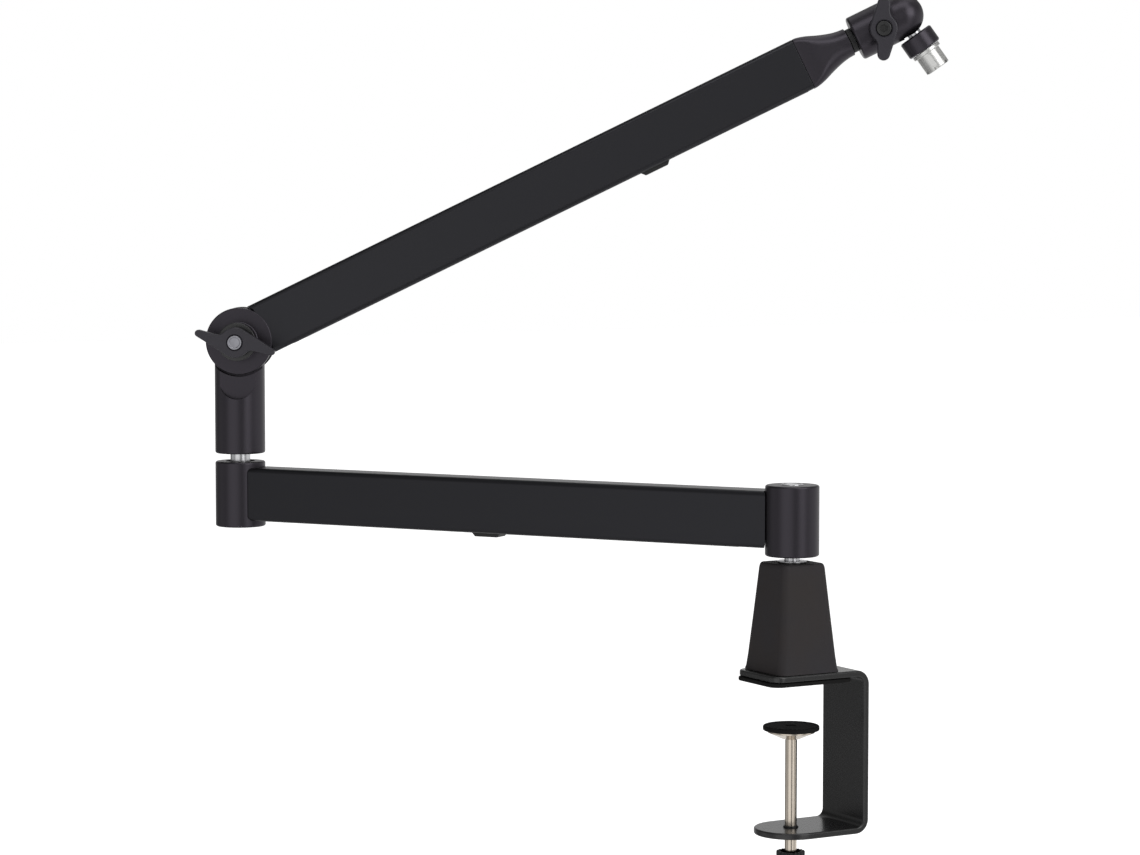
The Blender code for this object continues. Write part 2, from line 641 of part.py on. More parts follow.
def add_fork(frame, profile):
    """Build the two pivot ears with their plug in the upper profile, and the pivot bolt."""
    ears = to_axis(cylinder(EAR_R, -COLUMN_FLAT, COLUMN_FLAT, steps=48), "Y")
    fork = piece("elbow_fork", moved(ears, PIVOT_IN_ARM), frame, "satin_casting")
    boss_end = -COLUMN_FLAT - EAR_BOSS_HEIGHT
    boss = to_axis(cylinder(EAR_BOSS_R, boss_end, -COLUMN_FLAT + 1, steps=ROUND), "Y")
    change(fork, moved(boss, PIVOT_IN_ARM), "UNION")
    change(fork, socket_block(10, 60), "UNION")
    change(fork, box((-EAR_R - 1, -EAR_INNER, -EAR_R - 2), (26, EAR_INNER, EAR_R + 2)))
    bore = to_axis(cylinder(BOLT_R + GAP, boss_end - 1, COLUMN_FLAT + 1), "Y")
    change(fork, moved(bore, PIVOT_IN_ARM))
    end = lever_seat() - ELBOW_LEVER_HEIGHT - BOLT_PROUD
    head = COLUMN_FLAT + GAP
    bolt = [(0, end)] + arc((BOLT_R - 0.7, end + 0.7), 0.7, -90, 0, 2)
    bolt += [(BOLT_R, head), (9.0, head), (9.0, head + 3.2), (7.6, head + 4.6), (0, head + 5.0)]
    piece("pivot_bolt", moved(to_axis(turned(bolt), "Y"), PIVOT_IN_ARM), frame, "zinc")
    low = boss_end - GAP - LEVER_WASHER_THICK
    washer = to_axis(tube(LEVER_WASHER_R, BOLT_R + GAP, low, low + LEVER_WASHER_THICK), "Y")
    piece("lever_washer", moved(washer, PIVOT_IN_ARM), frame, "black_steel")
    add_socket_screw("fork_socket_screw", frame, profile, fork, 44, 3, 1)
    add_catch("upper_catch_1", frame, fork, 50, 0)


def add_elbow_lever(frame):
    """Build the wing lever that tightens the elbow."""
    outline = wing_outline(ELBOW_LEVER_HUB_R, ELBOW_LEVER_REACH, ELBOW_WING_HALF, 6.0)
    near = lever_seat()
    outer = near - ELBOW_LEVER_HEIGHT
    wings = spun(sideways(outline, outer, outer + ELBOW_WING_THICK), -ELBOW_LEVER_TURN)
    lever = piece("elbow_lever", wings, frame, "satin_casting")
    hub = cylinder(ELBOW_LEVER_HUB_R - 0.8, outer + 2, near, steps=ROUND)
    change(lever, to_axis(hub, "Y"), "UNION")
    change(lever, to_axis(cylinder(BOLT_R + GAP, outer - 1, near + 1), "Y"))


def add_upper_arm(frame):
    """Build the upper arm: fork, channel profile, cover and neck, with +X along the arm."""
    profile = piece("upper_tube", along_arm(channel_outline(), 10, TUBE_END), frame, "powder_coat")
    change(profile, moved(to_axis(cylinder(TUBE_CUT_R, -14, 14, steps=48), "Y"), PIVOT_IN_ARM))
    add_fork(frame, profile)

    outer = []
    for x, width, height, radius in NECK_SECTIONS:
        outer.append((TUBE_END + x, rounded(width, height, radius)))
    shape = lofted(outer)
    bmesh.ops.rotate(shape, matrix=Matrix(((0, 0, 1), (1, 0, 0), (0, 1, 0))), cent=(0, 0, 0), verts=shape.verts)
    neck = piece("upper_neck", shape, frame, "satin_casting")
    change(neck, socket_block(TUBE_END - 24, TUBE_END + 2), "UNION")
    shoulder = NECK_END - 18
    bore = [(0, TUBE_END - 25), (8.0, TUBE_END - 25), (8.0, shoulder), (STEM_R + GAP, shoulder),
            (STEM_R + GAP, NECK_END + 1), (0, NECK_END + 1)]
    change(neck, to_axis(turned(bore), "X"))
    piece("neck_ring", to_axis(tube(8.6, STEM_R + GAP, NECK_END + GAP, HEAD_START - GAP), "X"), frame, "black_plastic")
    add_socket_screw("neck_socket_screw", frame, profile, neck, TUBE_END - 8, 11, 1)
    add_catch("upper_catch_2", frame, neck, TUBE_END - 17, 0)
    add_cover("upper", frame, UPPER_COVER_START, UPPER_COVER_END, UPPER_TAB_AT, 0, (50, TUBE_END - 17))


def slot_outline(half, reach):
    """Give the slot that lets the stud swing in the dome, as (x, z) about the ball's centre."""
    low, high = Vector((cos(SLOT_FROM), sin(SLOT_FROM))), Vector((cos(SLOT_TO), sin(SLOT_TO)))
    low_side = Vector((low.y, -low.x)) * half
    high_side = Vector((-high.y, high.x)) * half
    middle = (low + high).normalized() * (reach * 1.2)
    points = (low_side, low_side + low * reach, middle, high_side + high * reach, high_side)
    return [(p.x, p.y) for p in points]


def add_head(frame):
    """Build the head: stem in the neck, split housing and the nut of its lever screw."""
    edge = 1.6
    outer = [(0, HEAD_START)] + arc((HEAD_R - edge, HEAD_START + edge), edge, -90, 0, 3)
    outer += arc((0, DOME_CENTRE), HEAD_R, 0, 90, 10)
    housing = piece("head_housing", to_axis(turned(outer), "X"), frame, "satin_casting")
    bore = to_axis(cylinder(STEM_R + GAP, HEAD_START - 1, HEAD_START + 12.5), "X")
    change(housing, bore)
    ball_room = BALL_R + GAP
    cavity = turned(arc((0, 0), ball_room, -90, 90, 12), steps=24)
    change(housing, moved(cavity, (DOME_CENTRE, 0, 0)))
    slot = sideways(slot_outline(STEM_R + 0.4, HEAD_R + 2), -STEM_R - 0.4, STEM_R + 0.4)
    change(housing, moved(slot, (DOME_CENTRE, 0, 0)))
    slit = box((HEAD_START + 14, -SLIT_HALF, -HEAD_R - 1), (DOME_CENTRE + HEAD_R + 1, SLIT_HALF, HEAD_R + 1))
    change(housing, slit)
    place = (HEAD_LEVER_AT, 0, HEAD_LEVER_DROP)
    over = HEAD_R + 2
    change(housing, moved(to_axis(cylinder(3.3, -over, over), "Y"), place))
    near_flat = 13.6
    change(housing, moved(to_axis(cylinder(HEAD_LEVER_HUB_R + 0.6, -over, -near_flat, steps=ROUND), "Y"), place))
    nut_pocket = to_axis(cylinder(6.6, 9.7, over, steps=6), "Y")
    change(housing, moved(nut_pocket, place))

    stem_end = HEAD_START + 12.2
    stem_start = NECK_END - 17.4
    stem = [(0, stem_end), (STEM_R, stem_end), (STEM_R, stem_start), (2.8, stem_start), (2.8, stem_start + 15),
            (0, stem_start + 15)]
    piece("neck_stem", to_axis(turned(stem[::-1]), "X"), frame, "bright_steel")
    seat = NECK_END - 18 - GAP
    screw = ((0, seat - 4), (7.2, seat - 4), (7.2, seat), (2.5, seat), (2.5, stem_start + 14.5), (0, stem_start + 14.5))
    piece("neck_screw", to_axis(turned(screw, steps=SMALL_ROUND), "X"), frame, "black_steel")
    nut = to_axis(cylinder(6.2, 10.0, 14.2, steps=6), "Y")
    nut = piece("head_lever_nut", moved(nut, place), frame, "zinc")
    change(nut, moved(to_axis(cylinder(3.3, 9, 16), "Y"), place))


def add_head_lever(frame):
    """Build the small lever that squeezes the head, with its socket screw."""
    inner = -13.6 - GAP
    outer = inner - HEAD_LEVER_HEIGHT
    outline = wing_outline(HEAD_LEVER_HUB_R, HEAD_LEVER_REACH, HEAD_WING_HALF, 7.0)
    wings = spun(sideways(outline, outer, outer + HEAD_WING_THICK), -HEAD_LEVER_TURN)
    lever = piece("head_lever", wings, frame, "satin_casting")
    change(lever, to_axis(cylinder(HEAD_LEVER_HUB_R - 0.5, outer + 2, inner, steps=ROUND), "Y"), "UNION")
    change(lever, to_axis(cylinder(5.6, outer - 1, outer + 5.2), "Y"))
    change(lever, to_axis(cylinder(3.3, outer - 1, inner + 1), "Y"))
    seat = outer + 4.9
    screw = ((0, seat - 2.5), (2.4, seat - 2.5), (2.4, seat - 4.6), (5.2, seat - 4.6), (5.2, seat), (3.0, seat),
             (3.0, 15.2), (0, 15.2))
    piece("head_lever_screw", to_axis(turned(screw, steps=SMALL_ROUND), "Y"), frame, "black_steel")


def add_stud(frame):
    """Build the ball with its stud, the lock collar and the thread adapter, with +Z along the stud."""
    stud_end = COLLAR_START + COLLAR_LENGTH + 11
    neck_angle = acos(STEM_R / BALL_R) * 180 / pi
    ball = arc((0, 0), BALL_R, -90, neck_angle, 14) + [(STEM_R, stud_end), (0, stud_end)]
    piece("ball_stem", turned(ball, steps=24), frame, "bright_steel")
    bore = STEM_R + GAP
    low, high = COLLAR_START, COLLAR_START + COLLAR_LENGTH
    collar = [(bore, low), (COLLAR_R - 0.8, low), (COLLAR_R, low + 0.8), (COLLAR_R, high - 0.8),
              (COLLAR_R - 0.8, high), (bore, high)]
    piece("lock_collar", turned(collar, ring=True), frame, "satin_casting")
    start = high + GAP
    end = high + ADAPTER_LENGTH
    depth = start + ADAPTER_BORE_DEPTH
    adapter = [(0, depth), (bore, depth), (bore, start), (ADAPTER_FLANGE_R, start),
               (ADAPTER_FLANGE_R, start + 2.6), (ADAPTER_R, start + 2.6), (ADAPTER_R, end - 0.8),
               (ADAPTER_R - 0.8, end), (0, end)]
    adapter = piece("thread_adapter", turned(adapter), frame, "nickel")
    for number in range(ADAPTER_NOTCHES):
        notch = box((ADAPTER_R - NOTCH_REACH, -NOTCH_HALF, end - NOTCH_DEPTH), (ADAPTER_R + 1, NOTCH_HALF, end + 1))
        change(adapter, spun(notch, NOTCH_FROM + 2 * pi * number / ADAPTER_NOTCHES, "Z"))


def build_stand():
    """Place the frames and build every assembly in its own frame."""
    desk = new_frame("desk_frame")
    add_clamp(desk)
    add_riser(desk)
    add_clamp_screw(desk)
    lower = new_frame("base_axis", desk, turn=Matrix.Rotation(LOWER_YAW, 3, "Z"))
    add_lower_arm(lower)
    swivel = new_frame("elbow_axis", lower, (LOWER_LENGTH, 0, 0), Matrix.Rotation(UPPER_YAW - LOWER_YAW, 3, "Z"))
    add_column(swivel)
    tilt = new_frame("tilt_axis", swivel, (PIVOT_X, 0, PIVOT_Z), Matrix.Rotation(-UPPER_RISE, 3, "Y"))
    add_elbow_lever(tilt)
    upper = new_frame("upper_arm_line", tilt, [-part for part in PIVOT_IN_ARM])
    add_upper_arm(upper)
    add_head(upper)
    lever = new_frame("head_lever_axis", upper, (HEAD_LEVER_AT, 0, HEAD_LEVER_DROP))
    add_head_lever(lever)
    stud = new_frame("ball_axis", upper, (DOME_CENTRE, 0, 0), Matrix.Rotation(pi / 2 - STUD_ANGLE, 3, "Y"))
    add_stud(stud)


for old in list(bpy.data.objects):
    bpy.data.objects.remove(old, do_unlink=True)
build_stand()
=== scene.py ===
"""Looks of a desktop microphone stand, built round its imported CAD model.

The stand is a low-profile boom arm: a C-shaped desk clamp with a tapered riser,
a level lower arm, an upright column with a tilting elbow, and an upper arm with
a lockable head that ends in a microphone thread adapter. Every sub-assembly is a
class that holds its sizes in millimetres, builds its pieces in its own frame and
gives them their finish.
"""
import json
import logging
from collections.abc import Callable
from dataclasses import dataclass, field
from enum import Enum
from math import acos, atan2, cos, degrees, pi, radians, sin, sqrt, tan

import bmesh
import bpy
from mathutils import Matrix, Vector

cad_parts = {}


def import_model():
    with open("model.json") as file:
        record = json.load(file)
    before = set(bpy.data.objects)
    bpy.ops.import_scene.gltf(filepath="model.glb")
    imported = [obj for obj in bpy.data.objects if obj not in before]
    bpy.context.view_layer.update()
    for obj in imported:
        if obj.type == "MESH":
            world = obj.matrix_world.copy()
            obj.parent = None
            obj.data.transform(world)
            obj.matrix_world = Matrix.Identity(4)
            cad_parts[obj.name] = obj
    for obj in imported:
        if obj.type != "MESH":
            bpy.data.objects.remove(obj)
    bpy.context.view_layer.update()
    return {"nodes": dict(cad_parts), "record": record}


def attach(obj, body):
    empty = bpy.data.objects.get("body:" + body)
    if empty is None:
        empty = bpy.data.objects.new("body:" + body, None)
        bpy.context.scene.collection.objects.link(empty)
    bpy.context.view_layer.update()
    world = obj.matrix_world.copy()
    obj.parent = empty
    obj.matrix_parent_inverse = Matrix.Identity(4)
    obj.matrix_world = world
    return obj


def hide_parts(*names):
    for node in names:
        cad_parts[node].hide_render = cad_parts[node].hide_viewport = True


LOG = logging.getLogger("microphone_stand")
# A millimetre in metres.
MM = 0.001
# Points closer than this are one point. It and the lengths below are in millimetres.
WELD = 0.001
# The gap between pieces that touch.
GAP = 0.3
# How far a cutter runs past what it cuts.
PAST = 1.0
# How far from a line a point may be and still count as on it.
NEAR = 0.1
# How far two points may differ along an axis and still be level.
LEVEL = 0.01
# Edges shorter than this are left over from cutting.
CRUMB = 0.06
# The share of a line that the fillet at one end of it may take.
HALF_LINE = 0.499
# Edges that turn further than this, in degrees, are shaded sharp.
SHARP = 40.0
# The values between which nearly all of a noise texture lies.
NOISE_LOW, NOISE_HIGH = 0.3, 0.7

Point = tuple[float, float]
Corner = tuple[float, float, float]
Line = list[tuple[float, ...]]
EdgeTest = Callable[[bmesh.types.BMEdge], bool]


class Along(Enum):
    """The axis that a turned or extruded piece runs along, in its sub-assembly's frame."""

    UP = "Z"
    ARM = "X"
    SIDE = "Y"

    def matrix(self) -> Matrix:
        """Give the turn that takes +Z to this axis."""
        return {"Z": Matrix.Identity(4), "X": Matrix.Rotation(pi / 2, 4, "Y"),
                "Y": Matrix.Rotation(-pi / 2, 4, "X")}[self.value]


def arc(centre: Point, radius: float, start: float, end: float, steps: int) -> list[Point]:
    """Give points on an arc.

    Args:
        centre: The arc's centre.
        radius: Its radius.
        start: The first angle, in degrees.
        end: The last angle, in degrees.
        steps: How many chords it has.

    Returns:
        The points, both ends included.
    """
    angles = [radians(start + (end - start) * i / steps) for i in range(steps + 1)]
    return [(centre[0] + radius * cos(a), centre[1] + radius * sin(a)) for a in angles]


def hexagon(radius: float, on_end: bool = False) -> list[Point]:
    """Give a hexagon's corners, with one towards +X, or one straight down if it stands on its end."""
    corners = arc((0, 0), radius, 0, 300, 5)
    return [(y, -x) for x, y in corners] if on_end else corners


def rounded(width: float, depth: float, radius: float, steps: int = 8) -> list[Point]:
    """Give the outline of a rectangle with round corners, centred on the origin.

    Args:
        width: Its size along the first axis.
        depth: Its size along the second.
        radius: The corners' radius.
        steps: How many chords a corner has.

    Returns:
        The outline's points.
    """
    x, y = width / 2 - radius, depth / 2 - radius
    points: list[Point] = []
    for sx, sy, start in ((1, 1, 0), (-1, 1, 90), (-1, -1, 180), (1, -1, 270)):
        points += arc((sx * x, sy * y), radius, start, start + 90, steps)
    return points


def filleted(corners: Line, closed: bool = True, fineness: float = 10.0) -> list[Point]:
    """Round the corners of a line.

    Args:
        corners: Points (x, y), or (x, y, radius) where the corner is rounded.
        closed: Whether the last corner joins the first.
        fineness: Degrees of turn for each chord of a fillet.

    Returns:
        The line's points, with an arc in place of each rounded corner.
    """
    points: list[Point] = []
    count = len(corners)
    for i, corner in enumerate(corners):
        here = Vector(corner[:2])
        at_end = not closed and i in (0, count - 1)
        if at_end or len(corner) < 3 or corner[2] <= 0:
            points.append((here.x, here.y))
            continue
        back = Vector(corners[i - 1][:2]) - here
        ahead = Vector(corners[(i + 1) % count][:2]) - here
        inner = back.angle(ahead)
        reach = min(corner[2] / tan(inner / 2), back.length * HALF_LINE, ahead.length * HALF_LINE)
        radius = reach * tan(inner / 2)
        centre = here + (back.normalized() + ahead.normalized()).normalized() * (radius / sin(inner / 2))
        start = here + back.normalized() * reach - centre
        end = here + ahead.normalized() * reach - centre
        steps = max(2, round(degrees(pi - inner) / fineness))
        swing = start.angle_signed(end)
        for k in range(steps + 1):
            angle = atan2(start.y, start.x) - swing * k / steps
            points.append((centre.x + radius * cos(angle), centre.y + radius * sin(angle)))
    return points


def smooth_rows(rows: tuple[tuple[float, ...], ...], steps: int) -> Line:
    """Run a smooth curve through rows of measures.

    Args:
        rows: The rows that the curve passes through.
        steps: How many rows it gives for each one of these.

    Returns:
        The rows along the curve, the first and the last included.
    """
    line = []
    for i in range(len(rows) - 1):
        four = (rows[max(i - 1, 0)], rows[i], rows[i + 1], rows[min(i + 2, len(rows) - 1)])
        for t in (k / steps for k in range(steps)):
            line.append(tuple(
                b + 0.5 * t * (c - a + t * (2 * a - 5 * b + 4 * c - d + t * (3 * (b - c) + d - a)))
                for a, b, c, d in zip(*four)))
    return line + [rows[-1]]


def wing_outline(hub: float, reach: float, half: float, fillet: float) -> list[Point]:
    """Give the outline of a lever with two swept wings.

    On each wing the leading side is a straight tangent from hub to tip, and the
    other side is hollow, with a fillet into the hub.

    Args:
        hub: The hub's radius.
        reach: How far a tip is from the axis.
        half: Half the width of a wing, which is its tip's radius too.
        fillet: The radius of the hollow side.

    Returns:
        The outline's points; the second wing is the first one turned half round.
    """
    tip = reach - half
    lean = degrees(acos((hub - half) / tip))
    hollow = sqrt((hub + fillet) ** 2 - (half + fillet) ** 2)
    drop = degrees(atan2(half + fillet, hollow))
    wing = arc((tip, 0), half, lean, -90, 14) + arc((hollow, -half - fillet), fillet, 90, 180 - drop, 12)
    wing += arc((0, 0), hub, -drop, lean - 180, 18)[1:]
    return wing + [(-x, -y) for x, y in wing]


def upright(edge: bmesh.types.BMEdge) -> bool:
    """Say whether an edge runs along Z."""
    a, b = (v.co for v in edge.verts)
    return (a.xy - b.xy).length < LEVEL


class Blank:
    """A piece in the making: a mesh in millimetres, in its sub-assembly's own frame."""

    def __init__(self) -> None:
        """Start with nothing."""
        self.mesh = bmesh.new()

    @classmethod
    def turned(cls, corners: Line, ring: bool = False, along: Along = Along.UP,
               segments: int = 96) -> "Blank":
        """Turn a profile on a lathe.

        Args:
            corners: Profile points (radius, height), or (radius, height, fillet).
            ring: Whether the profile closes on itself, for a piece with a bore.
            along: The axis it is turned about.
            segments: How many flats there are round the axis.

        Returns:
            The turned blank.
        """
        blank = cls()
        line = filleted(corners, closed=ring, fineness=15.0)
        verts = [blank.mesh.verts.new((r, 0.0, h)) for r, h in line]
        edges = [blank.mesh.edges.new(pair) for pair in zip(verts, verts[1:])]
        if ring:
            edges.append(blank.mesh.edges.new((verts[-1], verts[0])))
        bmesh.ops.spin(blank.mesh, geom=verts + edges, axis=(0, 0, 1), cent=(0, 0, 0), steps=segments,
                       angle=2 * pi, use_merge=True)
        return blank.sound().moved(along.matrix())

    @classmethod
    def bar(cls, radius: float, low: float, high: float, along: Along = Along.UP,
            segments: int = 64) -> "Blank":
        """Turn a plain round bar, to cut a hole with or to fuse on."""
        profile = [(0, low), (radius, low), (radius, high), (0, high)]
        return cls.turned(profile, along=along, segments=segments)

    @classmethod
    def cut_out(cls, outline: list[Point], low: float, high: float, along: Along = Along.UP) -> "Blank":
        """Saw an outline out of a plate.

        Args:
            outline: Points (x, y) in plan, or (x, z) for a plate that stands along SIDE.
            low: Where the plate starts along its axis.
            high: Where it ends.
            along: The plate's axis; outlines for ARM are (y, z).

        Returns:
            The sawn blank.
        """
        blank = cls()
        seats = {Along.UP: lambda x, y: (x, y, low), Along.SIDE: lambda x, z: (x, low, z),
                 Along.ARM: lambda y, z: (low, y, z)}
        ways = {Along.UP: (0, 0, 1), Along.SIDE: (0, 1, 0), Along.ARM: (1, 0, 0)}
        face = blank.mesh.faces.new([blank.mesh.verts.new(seats[along](*p)) for p in outline])
        raised = bmesh.ops.extrude_face_region(blank.mesh, geom=[face])["geom"]
        tips = [v for v in raised if isinstance(v, bmesh.types.BMVert)]
        bmesh.ops.translate(blank.mesh, vec=Vector(ways[along]) * (high - low), verts=tips)
        return blank.sound()

    @classmethod
    def block(cls, low: Corner, high: Corner) -> "Blank":
        """Mill a block.

        Args:
            low: Its corner with the lowest coordinates.
            high: Its corner with the highest.

        Returns:
            The block, with sharp edges.
        """
        blank = cls()
        bmesh.ops.create_cube(blank.mesh, size=1.0)
        a, b = Vector(low), Vector(high)
        return blank.moved(Matrix.Translation((a + b) / 2) @ Matrix.Diagonal((*(b - a), 1.0)))

    @classmethod
    def skinned(cls, sections: list[tuple[float, list[Point]]], along: Along = Along.ARM) -> "Blank":
        """Bridge a row of outlines into one closed body.

        Args:
            sections: Each station along the axis with its outline, all with as many points.
            along: ARM for outlines (y, z), or UP for outlines (x, y).

        Returns:
            The bridged blank, with both ends closed.
        """
        blank = cls()
        loops = []
        for station, outline in sections:
            spot = (lambda y, z: (station, y, z)) if along is Along.ARM else (lambda x, y: (x, y, station))
            verts = [blank.mesh.verts.new(spot(*p)) for p in outline]
            loops.append([blank.mesh.edges.new((verts[i - 1], verts[i])) for i in range(len(verts))])
        for near, far in zip(loops, loops[1:]):
            bmesh.ops.bridge_loops(blank.mesh, edges=near + far)
        for loop in (loops[0], loops[-1]):
            bmesh.ops.contextual_create(blank.mesh, geom=loop)
        return blank.sound()

    def sound(self) -> "Blank":
        """Merge doubles and turn every face outwards.

        Returns:
            The same blank.
        """
        bmesh.ops.remove_doubles(self.mesh, verts=self.mesh.verts, dist=WELD)
        bmesh.ops.recalc_face_normals(self.mesh, faces=self.mesh.faces)
        return self

    def moved(self, matrix: Matrix) -> "Blank":
        """Move, turn or scale the whole blank."""
        bmesh.ops.transform(self.mesh, matrix=matrix, verts=self.mesh.verts)
        return self

    def shifted(self, x: float = 0.0, y: float = 0.0, z: float = 0.0) -> "Blank":
        """Shift the whole blank."""
        return self.moved(Matrix.Translation((x, y, z)))

    def warped(self, rule: Callable[[Vector], Corner]) -> "Blank":
        """Move every point to where a rule says.

        Args:
            rule: Takes a point and gives its new place.

        Returns:
            The same blank.
        """
        for vert in self.mesh.verts:
            vert.co = rule(vert.co)
        return self

    def eased(self, width: float, segments: int = 2, angle: float = 35.0, where: EdgeTest | None = None,
              crumbs: float = 0.0) -> "Blank":
        """Round the sharp edges.

        Args:
            width: How far the rounding reaches from the edge.
            segments: How many facets it has.
            angle: Edges that turn less than this many degrees are left.
            where: A test on an edge; edges that fail it are left.
            crumbs: Edges shorter than this are closed first.

        Returns:
            The same blank.
        """
        if crumbs:
            bmesh.ops.dissolve_degenerate(self.mesh, edges=self.mesh.edges, dist=crumbs)
        limit = radians(angle)
        edges = [e for e in self.mesh.edges if len(e.link_faces) == 2 and e.calc_face_angle(0) > limit
                 and (where is None or where(e))]
        bmesh.ops.bevel(self.mesh, geom=edges, offset=width, offset_type="OFFSET", segments=segments,
                        profile=0.5, affect="EDGES", clamp_overlap=True, material=-1)
        return self

    def joined(self, other: "Blank") -> "Blank":
        """Lay another blank into this one, as it is.

        Args:
            other: The blank that is laid in; it is used up.

        Returns:
            The same blank.
        """
        loose = bpy.data.meshes.new("loose")
        other.mesh.to_mesh(loose)
        self.mesh.from_mesh(loose)
        bpy.data.meshes.remove(loose)
        other.mesh.free()
        return self

    def worked(self, tool: "Blank", operation: str = "DIFFERENCE") -> "Blank":
        """Cut another blank out of this one, or fuse it on.

        Args:
            tool: The blank that cuts or is fused on; it is used up.
            operation: DIFFERENCE or UNION.

        Returns:
            The same blank.
        """
        bench = []
        for shape in (self.mesh, tool.mesh):
            data = bpy.data.meshes.new("bench")
            shape.to_mesh(data)
            bench.append(bpy.data.objects.new("bench", data))
            bpy.context.scene.collection.objects.link(bench[-1])
        cut = bench[0].modifiers.new("cut", "BOOLEAN")
        cut.operation, cut.object, cut.solver = operation, bench[1], "EXACT"
        depsgraph = bpy.context.evaluated_depsgraph_get()
        result = bpy.data.meshes.new_from_object(bench[0].evaluated_get(depsgraph))
        self.mesh.clear()
        self.mesh.from_mesh(result)
        tool.mesh.free()
        for item in bench:
            data = item.data
            bpy.data.objects.remove(item)
            bpy.data.meshes.remove(data)
        bpy.data.meshes.remove(result)
        return self


def linear(colour: str) -> tuple[float, float, float, float]:
    """Turn an sRGB hex value into the linear colour a shader takes."""
    parts = [int(colour[i:i + 2], 16) / 255 for i in (1, 3, 5)]
    return (*(p / 12.92 if p <= 0.04045 else ((p + 0.055) / 1.055) ** 2.4 for p in parts), 1.0)


def add_node(tree: bpy.types.NodeTree, kind: str, inputs: dict | None = None,
             **settings: object) -> bpy.types.Node:
    """Add a shader node with its settings and links.

    Args:
        tree: The node tree.
        kind: The node's type, without the ShaderNode that it starts with.
        inputs: For each named input a value, or the output that is linked to it.
        settings: The node's own properties.

    Returns:
        The node.
    """
    made = tree.nodes.new(f"ShaderNode{kind}")
    for key, value in settings.items():
        setattr(made, key, value)
    for key, value in (inputs or {}).items():
        if isinstance(value, bpy.types.NodeSocket):
            tree.links.new(value, made.inputs[key])
        else:
            made.inputs[key].default_value = value
    return made


@dataclass(frozen=True)
class Finish:
    """What a surface is made of and how it was made.

    Attributes:
        name: The finish's common name.
        slot: The record's material slot.
        base: Its colour as an sRGB hex value.
        deep: The darker or second tone that it varies to.
        metallic: 1 for bare metal.
        roughness: Typical roughness.
        spread: How far the roughness varies up and down.
        specular: Strength of the surface reflection on a non-metal.
        grain_mm: Size of the texture's grain.
        relief_mm: Height of the texture.
        mottle_mm: Size of the patches in which the tone varies.
        turning_mm: Distance between lathe or brush lines, or 0 where there are none.
    """

    name: str
    slot: str
    base: str
    deep: str
    metallic: float = 0.0
    roughness: float = 0.5
    spread: float = 0.05
    specular: float = 0.5
    grain_mm: float = 0.6
    relief_mm: float = 0.01
    mottle_mm: float = 30.0
    turning_mm: float = 0.0

    def build(self, place: Matrix | None = None) -> bpy.types.Material:
        """Make the material.

        Args:
            place: The frame that lathe and brush lines follow along Z; the row frame if left out.

        Returns:
            The material, with its pattern on Object coordinates.
        """
        turn = None if place is None else place.to_euler()
        label = self.name if turn is None else f"{self.name}_{turn.z:.2f}_{turn.y:.2f}"
        known = bpy.data.materials.get(label)
        if known:
            return known
        material = bpy.data.materials.new(label)
        material.use_nodes = True
        tree = material.node_tree
        shader = tree.nodes["Principled BSDF"]
        spot = add_node(tree, "TexCoord").outputs["Object"]
        if turn is not None:
            mapping = {"Vector": spot, "Location": place.to_translation(), "Rotation": turn}
            spot = add_node(tree, "Mapping", mapping, vector_type="TEXTURE").outputs["Vector"]
        patches = add_node(tree, "TexNoise", {"Vector": spot, "Scale": 1 / (self.mottle_mm * MM),
                                              "Detail": 3.0, "Roughness": 0.6})
        tone = add_node(tree, "Mix", {"Factor": patches.outputs["Fac"], "A": linear(self.base),
                                      "B": linear(self.deep)}, data_type="RGBA")
        tree.links.new(tone.outputs["Result"], shader.inputs["Base Color"])
        height = self.lathe_lines(tree, spot) if self.turning_mm else self.grain(tree, spot)
        rough = add_node(tree, "MapRange", {"Value": height, "From Min": NOISE_LOW, "From Max": NOISE_HIGH,
                                            "To Min": self.roughness - self.spread,
                                            "To Max": self.roughness + self.spread})
        tree.links.new(rough.outputs["Result"], shader.inputs["Roughness"])
        bump = add_node(tree, "Bump", {"Height": height, "Strength": 1.0, "Distance": self.relief_mm * MM})
        tree.links.new(bump.outputs["Normal"], shader.inputs["Normal"])
        shader.inputs["Metallic"].default_value = self.metallic
        if not self.metallic:
            shader.inputs["Specular IOR Level"].default_value = self.specular
        return material

    def grain(self, tree: bpy.types.NodeTree, spot: bpy.types.NodeSocket) -> bpy.types.NodeSocket:
        """Give the height of an even grain."""
        return add_node(tree, "TexNoise", {"Vector": spot, "Scale": 1 / (self.grain_mm * MM), "Detail": 2.0,
                                           "Roughness": 0.55}).outputs["Fac"]

    def lathe_lines(self, tree: bpy.types.NodeTree, spot: bpy.types.NodeSocket) -> bpy.types.NodeSocket:
        """Draw lines round the axis on a turned side, and circles on a faced end.

        Args:
            tree: The material's node tree.
            spot: Where a point is in the frame whose Z is the lathe's axis.

        Returns:
            The lines' height.
        """
        across = add_node(tree, "VectorMath", {0: spot, 1: (1.0, 1.0, 0.0)}, operation="MULTIPLY")
        radius = add_node(tree, "VectorMath", {0: across.outputs["Vector"]}, operation="LENGTH")
        parts = add_node(tree, "SeparateXYZ", {"Vector": spot})
        travel = add_node(tree, "Math", {0: parts.outputs["Z"], 1: radius.outputs["Value"]})
        strokes = add_node(tree, "TexNoise", {"W": travel.outputs["Value"], "Detail": 2.0,
                                              "Scale": 1 / (self.turning_mm * MM)}, noise_dimensions="1D")
        return strokes.outputs["Fac"]


# Polyester powder coat on extruded aluminium: baked, so it flows into a faint orange peel and never mirrors.
POWDER_COAT = Finish("powder_coat", "powder_coat", "#2E2D31", "#2A292D", roughness=0.55, specular=0.3,
                     grain_mm=0.9, relief_mm=0.012, mottle_mm=35)
